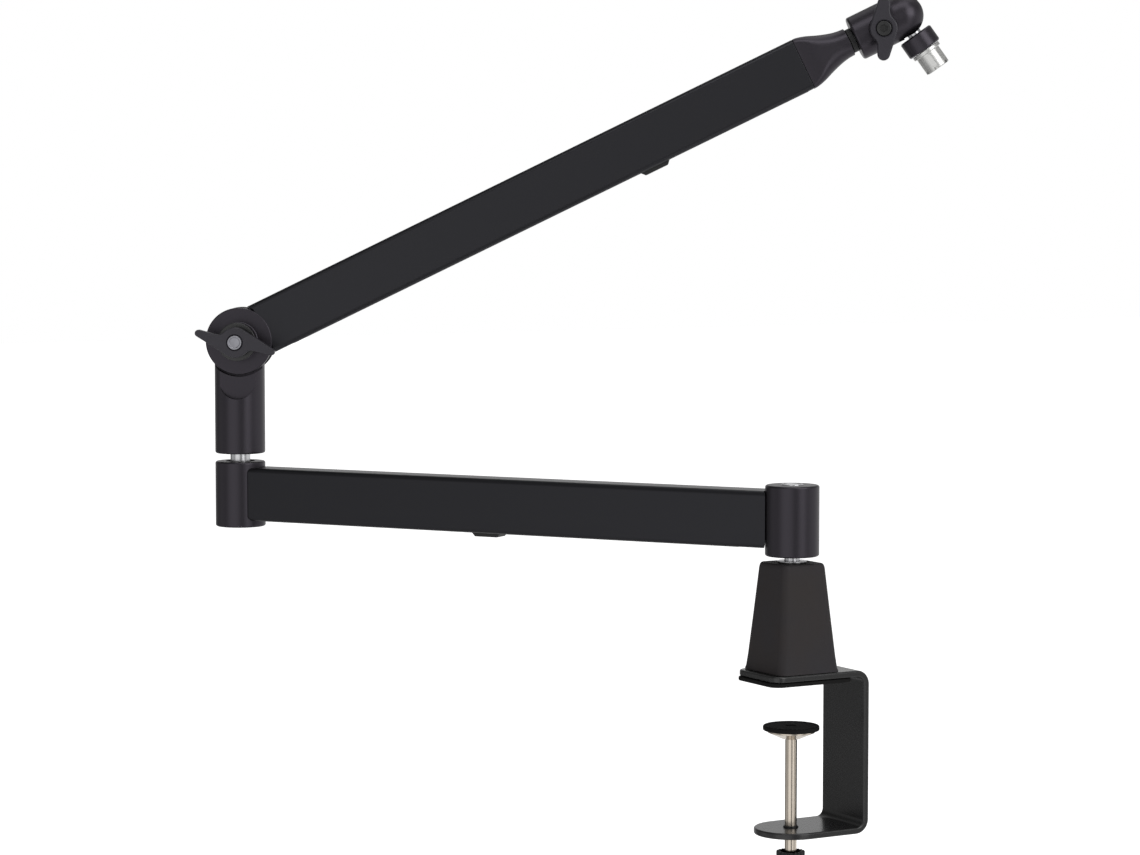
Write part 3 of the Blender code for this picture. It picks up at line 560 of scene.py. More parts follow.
# The same black on the cast riser, a little browner and more matt.
RISER_COAT = Finish("riser_coat", "powder_coat", "#2B2623", "#26262B", roughness=0.6, specular=0.15,
                    grain_mm=0.7, relief_mm=0.014, mottle_mm=45)
# Painted zinc die casting: sprayed, smoother than powder, so it shows a soft sheen on its rounded rims.
SATIN_CASTING = Finish("satin_casting", "satin_casting", "#343237", "#302E33", roughness=0.64, spread=0.04,
                       specular=0.4, grain_mm=0.5, relief_mm=0.006, mottle_mm=20)
# The same paint on the two levers, which are tumbled first, so that it lies smoother on them.
LEVER_CASTING = Finish("lever_casting", "satin_casting", "#28262C", "#242228", roughness=0.38, spread=0.03,
                       specular=0.35, grain_mm=0.5, relief_mm=0.004, mottle_mm=12)
# Black electro-coated steel strip: thin even film over rolled metal, bright along its rolled edges.
COATED_STEEL = Finish("coated_steel", "black_steel", "#1D1D1D", "#19191A", roughness=0.26, spread=0.04,
                      grain_mm=0.4, relief_mm=0.004, mottle_mm=18)
# Black ABS, moulded in a spark-eroded tool, so its matt grain is fine and even.
MOULDED_ABS = Finish("moulded_abs", "black_plastic", "#1A1A1B", "#161617", roughness=0.55, specular=0.4,
                     grain_mm=0.35, relief_mm=0.02, mottle_mm=15)
# Black moulded rubber: matt, with a faint bloom on its surface.
MOULDED_RUBBER = Finish("moulded_rubber", "rubber", "#0D0D0D", "#121111", roughness=0.85, specular=0.15,
                        grain_mm=0.5, relief_mm=0.02, mottle_mm=8)
# Nickel plate on turned brass or steel: warm grey mirror with faint lathe lines.
NICKEL_PLATE = Finish("nickel_plate", "nickel", "#D6CCBF", "#C4B9AB", metallic=1.0, roughness=0.2,
                      relief_mm=0.002, turning_mm=0.5, mottle_mm=12)
# Nickel plate left satin on the thread adapter, so that it takes the light of the whole room.
SATIN_NICKEL = Finish("satin_nickel", "nickel", "#D4D4D2", "#C8C8C6", metallic=1.0, roughness=0.36,
                      spread=0.04, relief_mm=0.002, turning_mm=0.5, mottle_mm=12)
# Bare turned steel, fine lathe lines round it.
TURNED_STEEL = Finish("turned_steel", "bright_steel", "#D2D2D4", "#BEBEC1", metallic=1.0, roughness=0.24,
                      spread=0.06, relief_mm=0.002, turning_mm=0.4, mottle_mm=10)
# Zinc plate: greyer and duller than nickel, with a fine crystalline grain.
ZINC_PLATE = Finish("zinc_plate", "zinc", "#A5A5AB", "#8E8E94", metallic=1.0, roughness=0.4, spread=0.08,
                    relief_mm=0.004, mottle_mm=4)
# Black acetal for the sliding faces: waxy, so it has a soft wide highlight.
BLACK_ACETAL = Finish("black_acetal", "acetal", "#222224", "#1E1E20", roughness=0.4, grain_mm=0.5,
                      relief_mm=0.004, mottle_mm=10)
# Nickel-plated magnet: mirror-like, with small dulled patches.
MAGNET_PLATE = Finish("magnet_plate", "magnet", "#BDBDC0", "#A6A6AA", metallic=1.0, roughness=0.22,
                      spread=0.06, grain_mm=0.8, relief_mm=0.003, mottle_mm=5)


@dataclass
class SubAssembly:
    """A sub-assembly: a CAD body, the frame that its pieces are made in, and the pieces."""

    body: str
    place: Matrix = field(default_factory=lambda: Matrix.Identity(4))

    def fit(self, name: str, blank: Blank, finish: Finish, node: str, along: Along = Along.UP) -> None:
        """Turn a blank into a finished piece at the origin, with its place in its mesh.

        Args:
            name: The piece's name.
            blank: Its shape, in this sub-assembly's frame; it is used up.
            finish: Its finish.
            node: The CAD node it stands for.
            along: The axis that it was turned about, for its lathe lines.
        """
        blank.moved(Matrix.Scale(MM, 4) @ self.place)
        data = bpy.data.meshes.new(name)
        blank.mesh.to_mesh(data)
        blank.mesh.free()
        piece = bpy.data.objects.new(name, data)
        bpy.context.scene.collection.objects.link(piece)
        data.shade_smooth()
        data.set_sharp_from_angle(angle=radians(SHARP))
        even = piece.modifiers.new("even_shading", "WEIGHTED_NORMAL")
        even.keep_sharp = True
        data.materials.append(finish.build(self.pattern_place(along) if finish.turning_mm else None))
        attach(piece, self.body)
        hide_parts(node)
        LOG.info("%s: %d faces", name, len(data.polygons))

    def pattern_place(self, along: Along) -> Matrix:
        """Give the frame of a pattern that follows a turned piece.

        Args:
            along: The axis that the piece was turned about.

        Returns:
            The frame in metres, its Z along that axis.
        """
        place = self.place @ along.matrix()
        place.translation = place.translation * MM
        return place


@dataclass
class DeskClamp(SubAssembly):
    """The bent steel bracket with its rubber desk pad and the bush in its lower plate."""

    width: float = 48.0
    thick: float = 4.2
    mouth: float = -28.0
    mouth_round: float = 8.0
    back: float = 44.7
    bend: float = 5.0
    top: float = 7.0
    foot: float = -99.6
    edge: float = 1.2
    hole: float = 5.1
    pad_middle: float = 2.35
    pad_length: float = 62.3
    pad_thick: float = 2.5
    pad_edge: float = 0.6
    bush: Point = (4.2, 4.8)  # bore and outside radius
    bush_top: float = 5.4

    def build(self) -> None:
        """Build the bracket, the pad and the bush."""
        self.build_bracket()
        outline = rounded(self.pad_length, self.width, self.mouth_round, 10)
        pad = Blank.cut_out([(self.pad_middle + x, y) for x, y in outline], 0, self.pad_thick)
        self.fit("desk_pad_rubber", pad.eased(self.pad_edge, 3), MOULDED_RUBBER, "desk_pad")
        bore, outer = self.bush
        low, high = self.foot + GAP, self.foot + self.bush_top
        bush = Blank.turned([(bore, low, 0.2), (outer, low, 0.2), (outer, high, 0.4), (bore, high, 0.2)],
                            ring=True, segments=48)
        self.fit("clamp_bush", bush, COATED_STEEL, "thread_bush")

    def build_bracket(self) -> None:
        """Bend the strip to a C, round its ends, ease its edges and drill its foot."""
        half, outer = self.width / 2, self.bend + self.thick
        under, low_top = self.top - self.thick, self.foot + self.thick
        path = [(self.mouth, self.top), (self.back, self.top, outer), (self.back, self.foot, outer),
                (-half, self.foot), (-half, low_top), (self.back - self.thick, low_top, self.bend),
                (self.back - self.thick, under, self.bend), (self.mouth, under)]
        strip = Blank.cut_out(filleted(path, fineness=7.5), -half, half, Along.SIDE)
        strip.eased(self.mouth_round, 10,
                    where=lambda e: all(v.co.x < self.mouth + NEAR for v in e.verts) and upright(e))
        # The two halves of the round foot stop a hair short of each other.
        strip.eased(half - 0.02, 24, where=lambda e: all(abs(v.co.x + half) < NEAR for v in e.verts)
                    and upright(e) and e.verts[0].co.z < 0)
        strip.sound().eased(self.edge, 4)
        strip.worked(Blank.bar(self.hole, self.foot - PAST, low_top + PAST, segments=48))
        self.fit("bent_bracket", strip, COATED_STEEL, "clamp_bracket")


@dataclass
class Riser(SubAssembly):
    """The tapered block on the bracket, with the bush of the base swivel in its top."""

    foot: float = 7.3
    # Heights above the foot, with the width and the corner radius at each.
    sizes: tuple[Corner, ...] = ((0.0, 46.6, 5.8), (0.7, 46.5, 5.8), (2.4, 45.4, 5.6), (10.0, 43.6, 5.5),
                                 (36.0, 38.6, 5.0), (66.0, 32.9, 4.2), (67.6, 32.4, 4.1), (68.7, 31.6, 3.9),
                                 (69.4, 30.6, 3.7), (69.7, 29.4, 3.4))
    top: float = 77.0
    bush: Point = (5.3, 8.0)  # bore and outside radius
    bush_low: float = 50.0
    flange: float = 9.4
    flange_top: float = 1.2

    def build(self) -> None:
        """Build the riser's shell and the bush in its top."""
        shell = Blank.skinned([(self.foot + h, rounded(s, s, r)) for h, s, r in self.sizes], Along.UP)
        self.fit("riser_shell", shell, RISER_COAT, "riser_housing")
        bore, outer = self.bush
        low, high = self.top + GAP, self.top + self.flange_top
        bush = Blank.turned([(bore, self.bush_low), (outer, self.bush_low), (outer, low),
                             (self.flange, low, 0.2), (self.flange, high, 0.3), (bore, high, 0.2)],
                            ring=True, segments=64)
        self.fit("riser_bush", bush, TURNED_STEEL, "riser_top_bush")


@dataclass(frozen=True)
class Layout:
    """Where the sub-assemblies stand; lengths in millimetres, angles in degrees."""

    lower_length: float = 422.0
    lower_yaw: float = 123.0
    upper_yaw: float = -31.1
    rise: float = 26.0
    pivot: Corner = (1.0, 0.0, 211.6)
    pivot_in_arm: Corner = (0.8, 0.0, -0.6)
    head_lever_at: Corner = (497.3, 0.0, -2.5)
    ball_at: Corner = (513.7, 0.0, 0.0)
    stud_angle: float = -80.5

    def lower(self) -> Matrix:
        """Give the base axis, +X towards the elbow."""
        return Matrix.Rotation(radians(self.lower_yaw), 4, "Z")

    def column(self) -> Matrix:
        """Give the elbow axis, +X the way that the upper arm heads."""
        turn = Matrix.Rotation(radians(self.upper_yaw - self.lower_yaw), 4, "Z")
        return self.lower() @ Matrix.Translation((self.lower_length, 0, 0)) @ turn

    def tilt(self) -> Matrix:
        """Give the pivot, its Y along the pivot bolt and its X up the arm."""
        return self.column() @ Matrix.Translation(self.pivot) @ Matrix.Rotation(radians(-self.rise), 4, "Y")

    def arm(self) -> Matrix:
        """Give the upper arm's middle line, which passes just above the pivot."""
        return self.tilt() @ Matrix.Translation([-part for part in self.pivot_in_arm])

    def head_lever(self) -> Matrix:
        """Give the head lever's screw, its Y along the screw."""
        return self.arm() @ Matrix.Translation(self.head_lever_at)

    def stud(self) -> Matrix:
        """Give the ball's centre, +Z out along the stud."""
        turn = Matrix.Rotation(radians(90 - self.stud_angle), 4, "Y")
        return self.arm() @ Matrix.Translation(self.ball_at) @ turn


@dataclass(frozen=True)
class ArmProfile:
    """The channel profile that both arms are sawn from, with what goes into it; its middle is z = 0."""

    width: float = 24.0
    height: float = 37.1
    edge: float = 3.5
    wall: float = 2.2
    ease: float = 0.35
    plug_half: float = 9.45
    plug_low: float = -13.0
    plug_top: float = 16.05
    catch: float = 4.3
    catch_deep: float = 3.1
    cover_half: float = 9.5
    cover_leg: float = 5.0
    cover_plate: float = 2.0
    cover_lip: float = 1.5
    tab_half: Point = (11.5, 6.0)  # along the arm and across it
    tab_slope: float = 3.0
    tab_depth: float = 2.8
    tab_edge: float = 0.5
    screw: float = 2.0
    screw_head: float = 4.0
    screw_cone: Point = (-2.3, -0.6)  # foot and top of the cone under its head
    screw_length: float = 10.0
    screw_socket: Point = (1.45, 1.8)  # radius and depth
    screw_sunk: float = 0.1

    def section(self, thinner: float = 0.0) -> list[Point]:
        """Give the channel's outline, open below.

        Args:
            thinner: How much is taken off its walls on every side.

        Returns:
            The outline's points (y, z).
        """
        half, tall, edge = self.width / 2 - thinner, self.height / 2 - thinner, self.edge - thinner
        inner = self.width / 2 - self.wall + thinner
        ceiling = self.height / 2 - self.wall + thinner
        lip = inner - half + edge
        right = arc((half - edge, edge - tall), edge, -degrees(acos(lip / edge)), 0, 6)
        right += arc((half - edge, tall - edge), edge, 0, 90, 9)
        return right + [(-y, z) for y, z in reversed(right)] + [(-inner, ceiling), (inner, ceiling)]

    def tube(self, start: float, end: float) -> Blank:
        """Saw a length of profile and ease the edges of its cut ends.

        Args:
            start: Where it starts along the arm.
            end: Where it ends.

        Returns:
            The length of profile.
        """
        turns = [radians(angle) for angle in (0, 30, 60, 90)]
        rims = [(self.ease * (1 - cos(a)), self.section(self.ease * (1 - sin(a)))) for a in turns]
        near = [(start + inset, outline) for inset, outline in rims]
        far = [(end - inset, outline) for inset, outline in reversed(rims)]
        return Blank.skinned(near + far)

    def plug(self, start: float, end: float) -> Blank:
        """Mill the plug that fills an end of the profile."""
        return Blank.block((start, -self.plug_half, self.plug_low), (end, self.plug_half, self.plug_top))

    def cover(self, start: float, end: float, tab_at: float) -> Blank:
        """Mould a cover strip with its pull tab.

        Args:
            start: Where the strip starts along the arm.
            end: Where it ends.
            tab_at: Where the middle of its tab is.

        Returns:
            The strip.
        """
        low, half, inner = -self.height / 2, self.cover_half, self.cover_half - self.cover_lip
        leg, plate = low + self.cover_leg, low + self.cover_plate
        section = filleted([(-half, low, 0.6), (half, low, 0.6), (half, leg, 0.3), (inner, leg, 0.3),
                            (inner, plate, 0.4), (-inner, plate, 0.4), (-inner, leg, 0.3),
                            (-half, leg, 0.3)], fineness=22.5)
        reach, half_tab = self.tab_half
        root, foot, slope = low + self.tab_edge, low - self.tab_depth, self.tab_slope
        tab = Blank.cut_out([(tab_at - reach, root), (tab_at + reach, root), (tab_at + reach - slope, foot),
                             (tab_at - reach + slope, foot)], -half_tab, half_tab, Along.SIDE)
        strip = Blank.cut_out(section, start, end, Along.ARM)
        return strip.worked(tab.eased(self.tab_edge, 3), "UNION")

    def socket_screw(self, at: float, height: float, side: int, loose: float = 0.0) -> Blank:
        """Turn a countersunk socket screw, or the hole for it.

        Args:
            at: Where it stands along the arm.
            height: Its height above the profile's middle.
            side: The wall that it enters by, +1 or -1 along Y.
            loose: How much wider than the screw a hole is; 0 gives the screw.

        Returns:
            The screw or the hole, in place.
        """
        shank, head, tip = self.screw + loose, self.screw_head + loose, -self.screw_length - loose
        top = PAST if loose else 0.0
        item = Blank.turned([(0, tip), (shank, tip, 0.4), (shank, self.screw_cone[0] - loose / 2),
                             (head, self.screw_cone[1]), (head, top, 0.15), (0, top)], segments=48)
        if not loose:
            socket, deep = self.screw_socket
            item.worked(Blank.cut_out(hexagon(socket), -deep, PAST))
        turn = Along.SIDE.matrix() if side > 0 else Matrix.Rotation(pi / 2, 4, "X")
        spot = (at, side * (self.width / 2 - self.screw_sunk), height)
        return item.moved(Matrix.Translation(spot) @ turn)

    def catch_pocket(self, at: float) -> Blank:
        """Turn the cutter for a catch disc's pocket in a plug's underside."""
        return Blank.bar(self.catch, self.plug_low - PAST, self.plug_low + self.catch_deep).shifted(x=at)


@dataclass
class Arm(SubAssembly):
    """What both arms share: a profile along +X, screwed from one side to a plug in each of its ends."""

    centre: float = 0.0
    screw_side: int = 1
    profile: ArmProfile = ArmProfile()

    def drill_plug(self, casting: Blank, screw_at: float, lift: float, catch_at: float) -> Blank:
        """Drill a casting's plug for its socket screw and its catch.

        Args:
            casting: The casting with the plug.
            screw_at: Where the screw stands along the arm.
            lift: The screw's height above the profile's middle.
            catch_at: Where the catch stands along the arm.

        Returns:
            The same casting.
        """
        casting.worked(self.profile.socket_screw(screw_at, self.centre + lift, self.screw_side, GAP))
        return casting.worked(self.profile.catch_pocket(catch_at).shifted(z=self.centre))

    def screw_down(self, tube: Blank, name: str, at: float, lift: float) -> None:
        """Drill the profile for a socket screw, and fit the screw.

        Args:
            tube: The profile.
            name: What the screw holds.
            at: Where it stands along the arm.
            lift: Its height above the profile's middle.
        """
        height = self.centre + lift
        tube.worked(self.profile.socket_screw(at, height, self.screw_side, GAP))
        screw = self.profile.socket_screw(at, height, self.screw_side)
        self.fit(f"{name}_plug_screw", screw, COATED_STEEL, f"{name}_socket_screw")


@dataclass
class LowerArm(Arm):
    """The level arm: a profile between two round hubs, +X from the base to the elbow."""

    centre: float = 104.6
    screw_side: int = -1
    length: float = 422.0
    hub: float = 17.5
    hub_low: float = 81.2
    hub_high: float = 127.1
    hub_edge: float = 1.4
    reveal: float = 0.7
    plug_from: float = 12.5
    plug_to: float = 46.0
    screw_at: float = 27.0
    screw_lift: float = 3.0
    catch_at: float = 39.5
    cap: float = 7.2
    cap_low: float = 1.9
    cap_proud: float = 0.6
    cap_groove: float = 5.9
    spigot: float = 5.0
    spigot_foot: float = 11.7
    spigot_top: float = 5.4
    spigot_room: float = 5.0
    sleeve: Point = (6.3, 10.0)  # bore and outside radius
    sleeve_top: float = 2.5
    ledge: float = 7.3
    ledge_low: float = 8.8
    ledge_top: float = 12.8

    def build(self) -> None:
        """Build the hubs, the profile between them and the screws that hold it."""
        low, high, edge, hub = self.hub_low, self.hub_high, self.hub_edge, self.hub
        room, floor = self.cap + GAP, high - self.cap_low - GAP
        bore, end = self.spigot + GAP, high - self.spigot_room
        base = Blank.turned([(0, floor), (room, floor), (room, high, 0.3), (hub, high, edge),
                             (hub, low, edge), (bore, low, 0.3), (bore, end), (0, end)], segments=128)
        self.fit("base_hub_casting", self.add_plug(base, 0, 1), SATIN_CASTING, "base_hub")
        inner, outer = self.sleeve
        under, over = low + self.ledge_low, low + self.ledge_top
        elbow = Blank.turned([(outer, low, 0.3), (hub, low, edge), (hub, high, edge),
                              (outer + GAP, high, 0.3), (outer + GAP, over), (self.ledge, over),
                              (self.ledge, under), (outer, under)], ring=True, segments=128)
        elbow.shifted(x=self.length)
        self.fit("elbow_hub_casting", self.add_plug(elbow, self.length, -1), SATIN_CASTING, "elbow_hub")
        self.build_spigot()
        foot, top = over + GAP, high - self.sleeve_top
        sleeve = Blank.turned([(inner, foot, 0.3), (outer, foot, 0.3), (outer, top, 0.4), (inner, top, 0.3)],
                              ring=True).shifted(x=self.length)
        self.fit("elbow_hub_sleeve", sleeve, BLACK_ACETAL, "elbow_sleeve")
        self.build_profile()

    def add_plug(self, hub: Blank, at: float, way: int) -> Blank:
        """Fuse the plug on a hub, and drill it.

        Args:
            hub: The turned hub.
            at: Where its axis is along the arm.
            way: The way that its plug points along the arm, +1 or -1.

        Returns:
            The same hub.
        """
        ends = sorted((at + way * self.plug_from, at + way * self.plug_to))
        hub.worked(self.profile.plug(*ends).shifted(z=self.centre), "UNION")
        return self.drill_plug(hub, at + way * self.screw_at, self.screw_lift, at + way * self.catch_at)

    def build_spigot(self) -> None:
        """Build the base spigot and the bright cap over its end."""
        radius, foot, top = self.spigot, self.spigot_foot, self.hub_high - self.spigot_top
        pin = Blank.turned([(0, foot), (radius, foot, 0.6), (radius, top, 0.6), (0, top)])
        self.fit("base_spigot_pin", pin, TURNED_STEEL, "base_spigot")
        low, high = self.hub_high - self.cap_low, self.hub_high + self.cap_proud
        cap = Blank.turned([(0, low), (self.cap, low, 0.3), (self.cap, high, 0.5),
                            (self.cap_groove, high - 0.05), (self.cap_groove - 0.2, high - 0.25),
                            (0, high - 0.15)])
        self.fit("base_cap_disc", cap, TURNED_STEEL, "base_hub_cap")

    def build_profile(self) -> None:
        """Saw the profile, hollow its ends to the hubs and screw it to their plugs."""
        reach = self.hub + self.reveal
        middle = self.length / 2

        def hollow(spot: Vector) -> Corner:
            """Draw a cut end back from the middle line, so that it fits round its hub."""
            bow = sqrt(reach ** 2 - spot.y ** 2)
            return (spot.x + (bow if spot.x < middle else -bow), spot.y, spot.z + self.centre)

        tube = self.profile.tube(0, self.length).warped(hollow)
        for name, at in (("base", self.screw_at), ("elbow", self.length - self.screw_at)):
            self.screw_down(tube, name, at, self.screw_lift)
        self.fit("lower_profile", tube, POWDER_COAT, "lower_tube")


@dataclass
class CoverStrip(SubAssembly):
    """A cover strip with its pull tab, let into the open side of an arm profile."""

    node: str = "lower_cover"
    start: float = 34.0
    end: float = 398.0
    tab_at: float = 222.0
    centre: float = 104.6
    profile: ArmProfile = ArmProfile()

    def build(self) -> None:
        """Build the strip."""
        strip = self.profile.cover(self.start, self.end, self.tab_at).shifted(z=self.centre)
        self.fit(f"{self.node}_strip", strip, MOULDED_ABS, self.node)


@dataclass
class ElbowColumn(SubAssembly):
    """The column that swivels on the elbow hub and carries the tilting pivot, +X under the upper arm."""

    radius: float = 17.5
    low: float = 132.7
    edge: float = 1.4
    pivot_x: float = 1.0
    pivot_z: float = 211.6
    pivot_bore: float = 5.2
    flat: float = 12.25
    flat_half: float = 13.0
    flat_low: float = 184.2
    tongue_half: float = 5.5
    ear_clear: float = 24.7
    crown: float = 17.3
    mill_edge: float = 0.45
    spigot: Point = (6.0, 7.0)  # radius below its step and above
    spigot_foot: float = 89.1
    spigot_step: float = 124.9
    spigot_top: float = 151.7
    thread: float = 2.8
    thread_end: float = 97.1
    washer: float = 9.0
    washer_low: float = 86.6
    screw: float = 2.5
    screw_head: float = 4.4
    screw_low: float = 83.5
    screw_tip: float = 96.6
    socket: float = 2.3
    socket_deep: float = 1.8

    def build(self) -> None:
        """Build the column, the spigot in its foot and what retains it."""
        self.build_body()
        thin, thick = self.spigot
        foot, step, top = self.spigot_foot, self.spigot_step, self.spigot_top
        spigot = Blank.turned([(0, self.thread_end), (self.thread, self.thread_end), (self.thread, foot),
                               (thin, foot, 0.3), (thin, step), (thick, step, 0.2), (thick, top, 0.6),
                               (0, top)])
        self.fit("elbow_spigot_pin", spigot, TURNED_STEEL, "elbow_spigot")
        low, high = self.washer_low, foot - GAP
        washer = Blank.turned([(self.thread, low, 0.2), (self.washer, low, 0.4), (self.washer, high, 0.2),
                               (self.thread, high, 0.2)], ring=True)
        self.fit("spigot_washer", washer, TURNED_STEEL, "retainer_washer")
        seat, low = low - GAP, self.screw_low
        screw = Blank.turned([(0, low), (self.screw_head, low, 0.5), (self.screw_head, seat),
                              (self.screw, seat), (self.screw, self.screw_tip), (0, self.screw_tip)],
                             segments=48)
        screw.worked(Blank.cut_out(hexagon(self.socket), low - PAST, low + self.socket_deep))
        self.fit("spigot_screw", screw, COATED_STEEL, "retainer_screw")

    def build_body(self) -> None:
        """Turn the column, and mill its flats, the seats of the ears, its crown and its holes."""
        radius, over = self.radius, self.radius + PAST
        pivot, high = (self.pivot_x, 0, self.pivot_z), self.pivot_z + over
        body = Blank.turned([(0, self.low), (radius, self.low, self.edge), (radius, high), (0, high)],
                            segments=128)
        half, wide = self.flat_half, over + 3
        flat = arc((0, self.flat_low), half, -180, 0, 40) + [(half, high + 2), (-half, high + 2)]
        crown = arc((self.pivot_x, self.pivot_z), self.crown, 180, 0, 40)
        crown += [(wide, self.pivot_z), (wide, high + 3), (-wide, high + 3), (-wide, self.pivot_z)]
        for side in (1, -1):
            body.worked(Blank.cut_out(flat, *sorted((side * self.flat, side * over)), Along.SIDE))
            ends = sorted((side * self.tongue_half, side * over))
            body.worked(Blank.bar(self.ear_clear, *ends, Along.SIDE, 160).shifted(*pivot))
        body.worked(Blank.cut_out(crown, -over, over, Along.SIDE))
        body.eased(self.mill_edge, 3, crumbs=CRUMB,
                   where=lambda e: min(v.co.z for v in e.verts) > self.low + 3)
        body.worked(Blank.bar(self.pivot_bore, -over, over, Along.SIDE).shifted(*pivot))
        body.worked(Blank.bar(self.spigot[1] + GAP, self.low - PAST, self.spigot_top + GAP))
        self.fit("column_casting", body, SATIN_CASTING, "column_body")


@dataclass
class UpperArm(Arm):
    """The upper arm, from the ears round the pivot to the neck, +X along its middle line."""

    pivot: Corner = (0.8, 0.0, -0.6)
    ear: float = 23.3
    ear_out: float = 12.25
    ear_in: float = 7.1
    slot_end: float = 26.0
    boss: float = 12.6
    boss_end: float = -22.95
    fork_plug: Point = (10.0, 60.0)  # start and end
    fork_screw: Point = (44.0, 3.0)  # place along the arm and lift
    fork_catch: float = 50.0
    bolt: float = 4.9
    bolt_end: float = -36.75
    bolt_dimple: Point = (3.4, 3.8)  # radius of its floor and of its rim
    bolt_head: Point = (9.0, 5.0)  # radius and height
    bolt_socket: Point = (3.5, 2.4)  # radius and height of its floor in the head
    washer: float = 13.3
    washer_thick: float = 1.5
    tube_cut: float = 24.5
    tube_end: float = 437.5
    neck_plug: Point = (-24.0, 2.0)  # start and end, from the profile's end
    neck_screw: Point = (-8.0, 11.0)  # place from the profile's end and lift
    neck_catch: float = -17.0
    # Stations from the profile's end, with the width, height and corner radius at each.
    neck_rows: tuple[tuple[float, ...], ...] = (
        (0.3, 24.0, 37.1, 3.5), (3.5, 24.0, 36.7, 4.2), (9.5, 23.6, 33.6, 6.2), (17.5, 22.2, 27.6, 9.0),
        (25.5, 20.8, 22.6, 10.0), (31.5, 20.0, 20.3, 9.9), (35.8, 19.8, 19.8, 9.8))
    neck_rims: Point = (0.3, 0.4)  # rounding at the profile's end and at the ring's
    neck_room: float = 8.0
    neck_bore: float = 5.3
    neck_wall: float = 18.0
    ring: float = 8.6
    ring_end: float = 4.0

    def build(self) -> None:
        """Build the fork, the profile, the neck and their fasteners."""
        self.build_fork()
        self.build_bolt()
        self.build_neck()
        tube = self.profile.tube(0, self.tube_end).warped(self.hollow)
        self.screw_down(tube, "fork", *self.fork_screw)
        self.screw_down(tube, "neck", self.tube_end + self.neck_screw[0], self.neck_screw[1])
        self.fit("upper_profile", tube, POWDER_COAT, "upper_tube")

    def hollow(self, spot: Vector) -> Corner:
        """Draw the profile's near end back round the ears, and leave its other end square.

        Args:
            spot: A point of the profile.

        Returns:
            Where the point goes.
        """
        if spot.x > self.tube_end / 2:
            return tuple(spot)
        bow = self.pivot[0] + sqrt(self.tube_cut ** 2 - (spot.z - self.pivot[2]) ** 2)
        return (spot.x + bow, spot.y, spot.z)

    def build_fork(self) -> None:
        """Turn the ears and the boss under the lever, add their plug, and mill the slot between them."""
        out, past = self.ear_out, self.ear + 3
        ears = Blank.turned([(0, self.boss_end), (self.boss, self.boss_end, 0.6), (self.boss, -out, 1.2),
                             (self.ear, -out, 1.0), (self.ear, out, 1.0), (0, out)], along=Along.SIDE,
                            segments=160).shifted(*self.pivot)
        ears.worked(self.profile.plug(*self.fork_plug), "UNION")
        ears.worked(Blank.block((-past, -self.ear_in, -past), (self.slot_end, self.ear_in, past)))
        bore = Blank.bar(self.bolt + GAP, self.boss_end - PAST, out + PAST, Along.SIDE)
        ears.worked(bore.shifted(*self.pivot))
        self.drill_plug(ears, *self.fork_screw, self.fork_catch)
        self.fit("fork_casting", ears, SATIN_CASTING, "elbow_fork")

    def build_bolt(self) -> None:
        """Turn the pivot bolt and the washer under the lever."""
        end, head = self.bolt_end, self.ear_out + GAP
        (dimple, rim), (wide, tall), (socket, floor) = self.bolt_dimple, self.bolt_head, self.bolt_socket
        bolt = Blank.turned([(0, end + 0.5), (dimple, end + 0.5, 0.3), (rim, end, 0.15),
                             (self.bolt, end, 0.45), (self.bolt, head), (wide, head, 0.3),
                             (wide, head + tall - 1.8, 0.6), (wide - 1.4, head + tall - 0.4, 0.6),
                             (0, head + tall)], along=Along.SIDE)
        top = head + tall + PAST
        bolt.worked(Blank.cut_out(hexagon(socket, on_end=True), head + floor, top, Along.SIDE))
        self.fit("pivot_bolt_turned", bolt.shifted(*self.pivot), ZINC_PLATE, "pivot_bolt")
        near, bore, outer = self.boss_end - GAP, self.bolt + GAP, self.washer
        far = near - self.washer_thick
        washer = Blank.turned([(bore, far, 0.2), (outer, far, 0.6), (outer, near, 0.3), (bore, near, 0.2)],
                              ring=True, along=Along.SIDE, segments=128)
        self.fit("lever_washer_ring", washer.shifted(*self.pivot), COATED_STEEL, "lever_washer")

    def build_neck(self) -> None:
        """Cast the neck from the profile's section to a round end, and turn the ring behind it."""
        start, end = self.tube_end, self.tube_end + self.neck_rows[-1][0]
        neck = Blank.skinned([(start + x, rounded(w, h, min(r, w / 2 - 0.05, h / 2 - 0.05), 12))
                              for x, w, h, r in self.neck_sections()])
        plug_from, plug_to = self.neck_plug
        neck.worked(self.profile.plug(start + plug_from, start + plug_to), "UNION")
        low, wall = start + plug_from - PAST, end - self.neck_wall
        bore, room = self.neck_bore, self.neck_room
        neck.worked(Blank.turned([(0, low), (room, low), (room, wall), (bore, wall), (bore, end + PAST),
                                  (0, end + PAST)], along=Along.ARM, segments=64))
        self.drill_plug(neck, start + self.neck_screw[0], self.neck_screw[1], start + self.neck_catch)
        self.fit("neck_casting", neck, SATIN_CASTING, "upper_neck")
        near, far, outer = end + GAP, end + self.ring_end, self.ring
        ring = Blank.turned([(bore, near, 0.2), (outer, near, 0.4), (outer, far, 0.4), (bore, far, 0.2)],
                            ring=True, along=Along.ARM)
        self.fit("neck_ring_moulding", ring, MOULDED_ABS, "neck_ring")

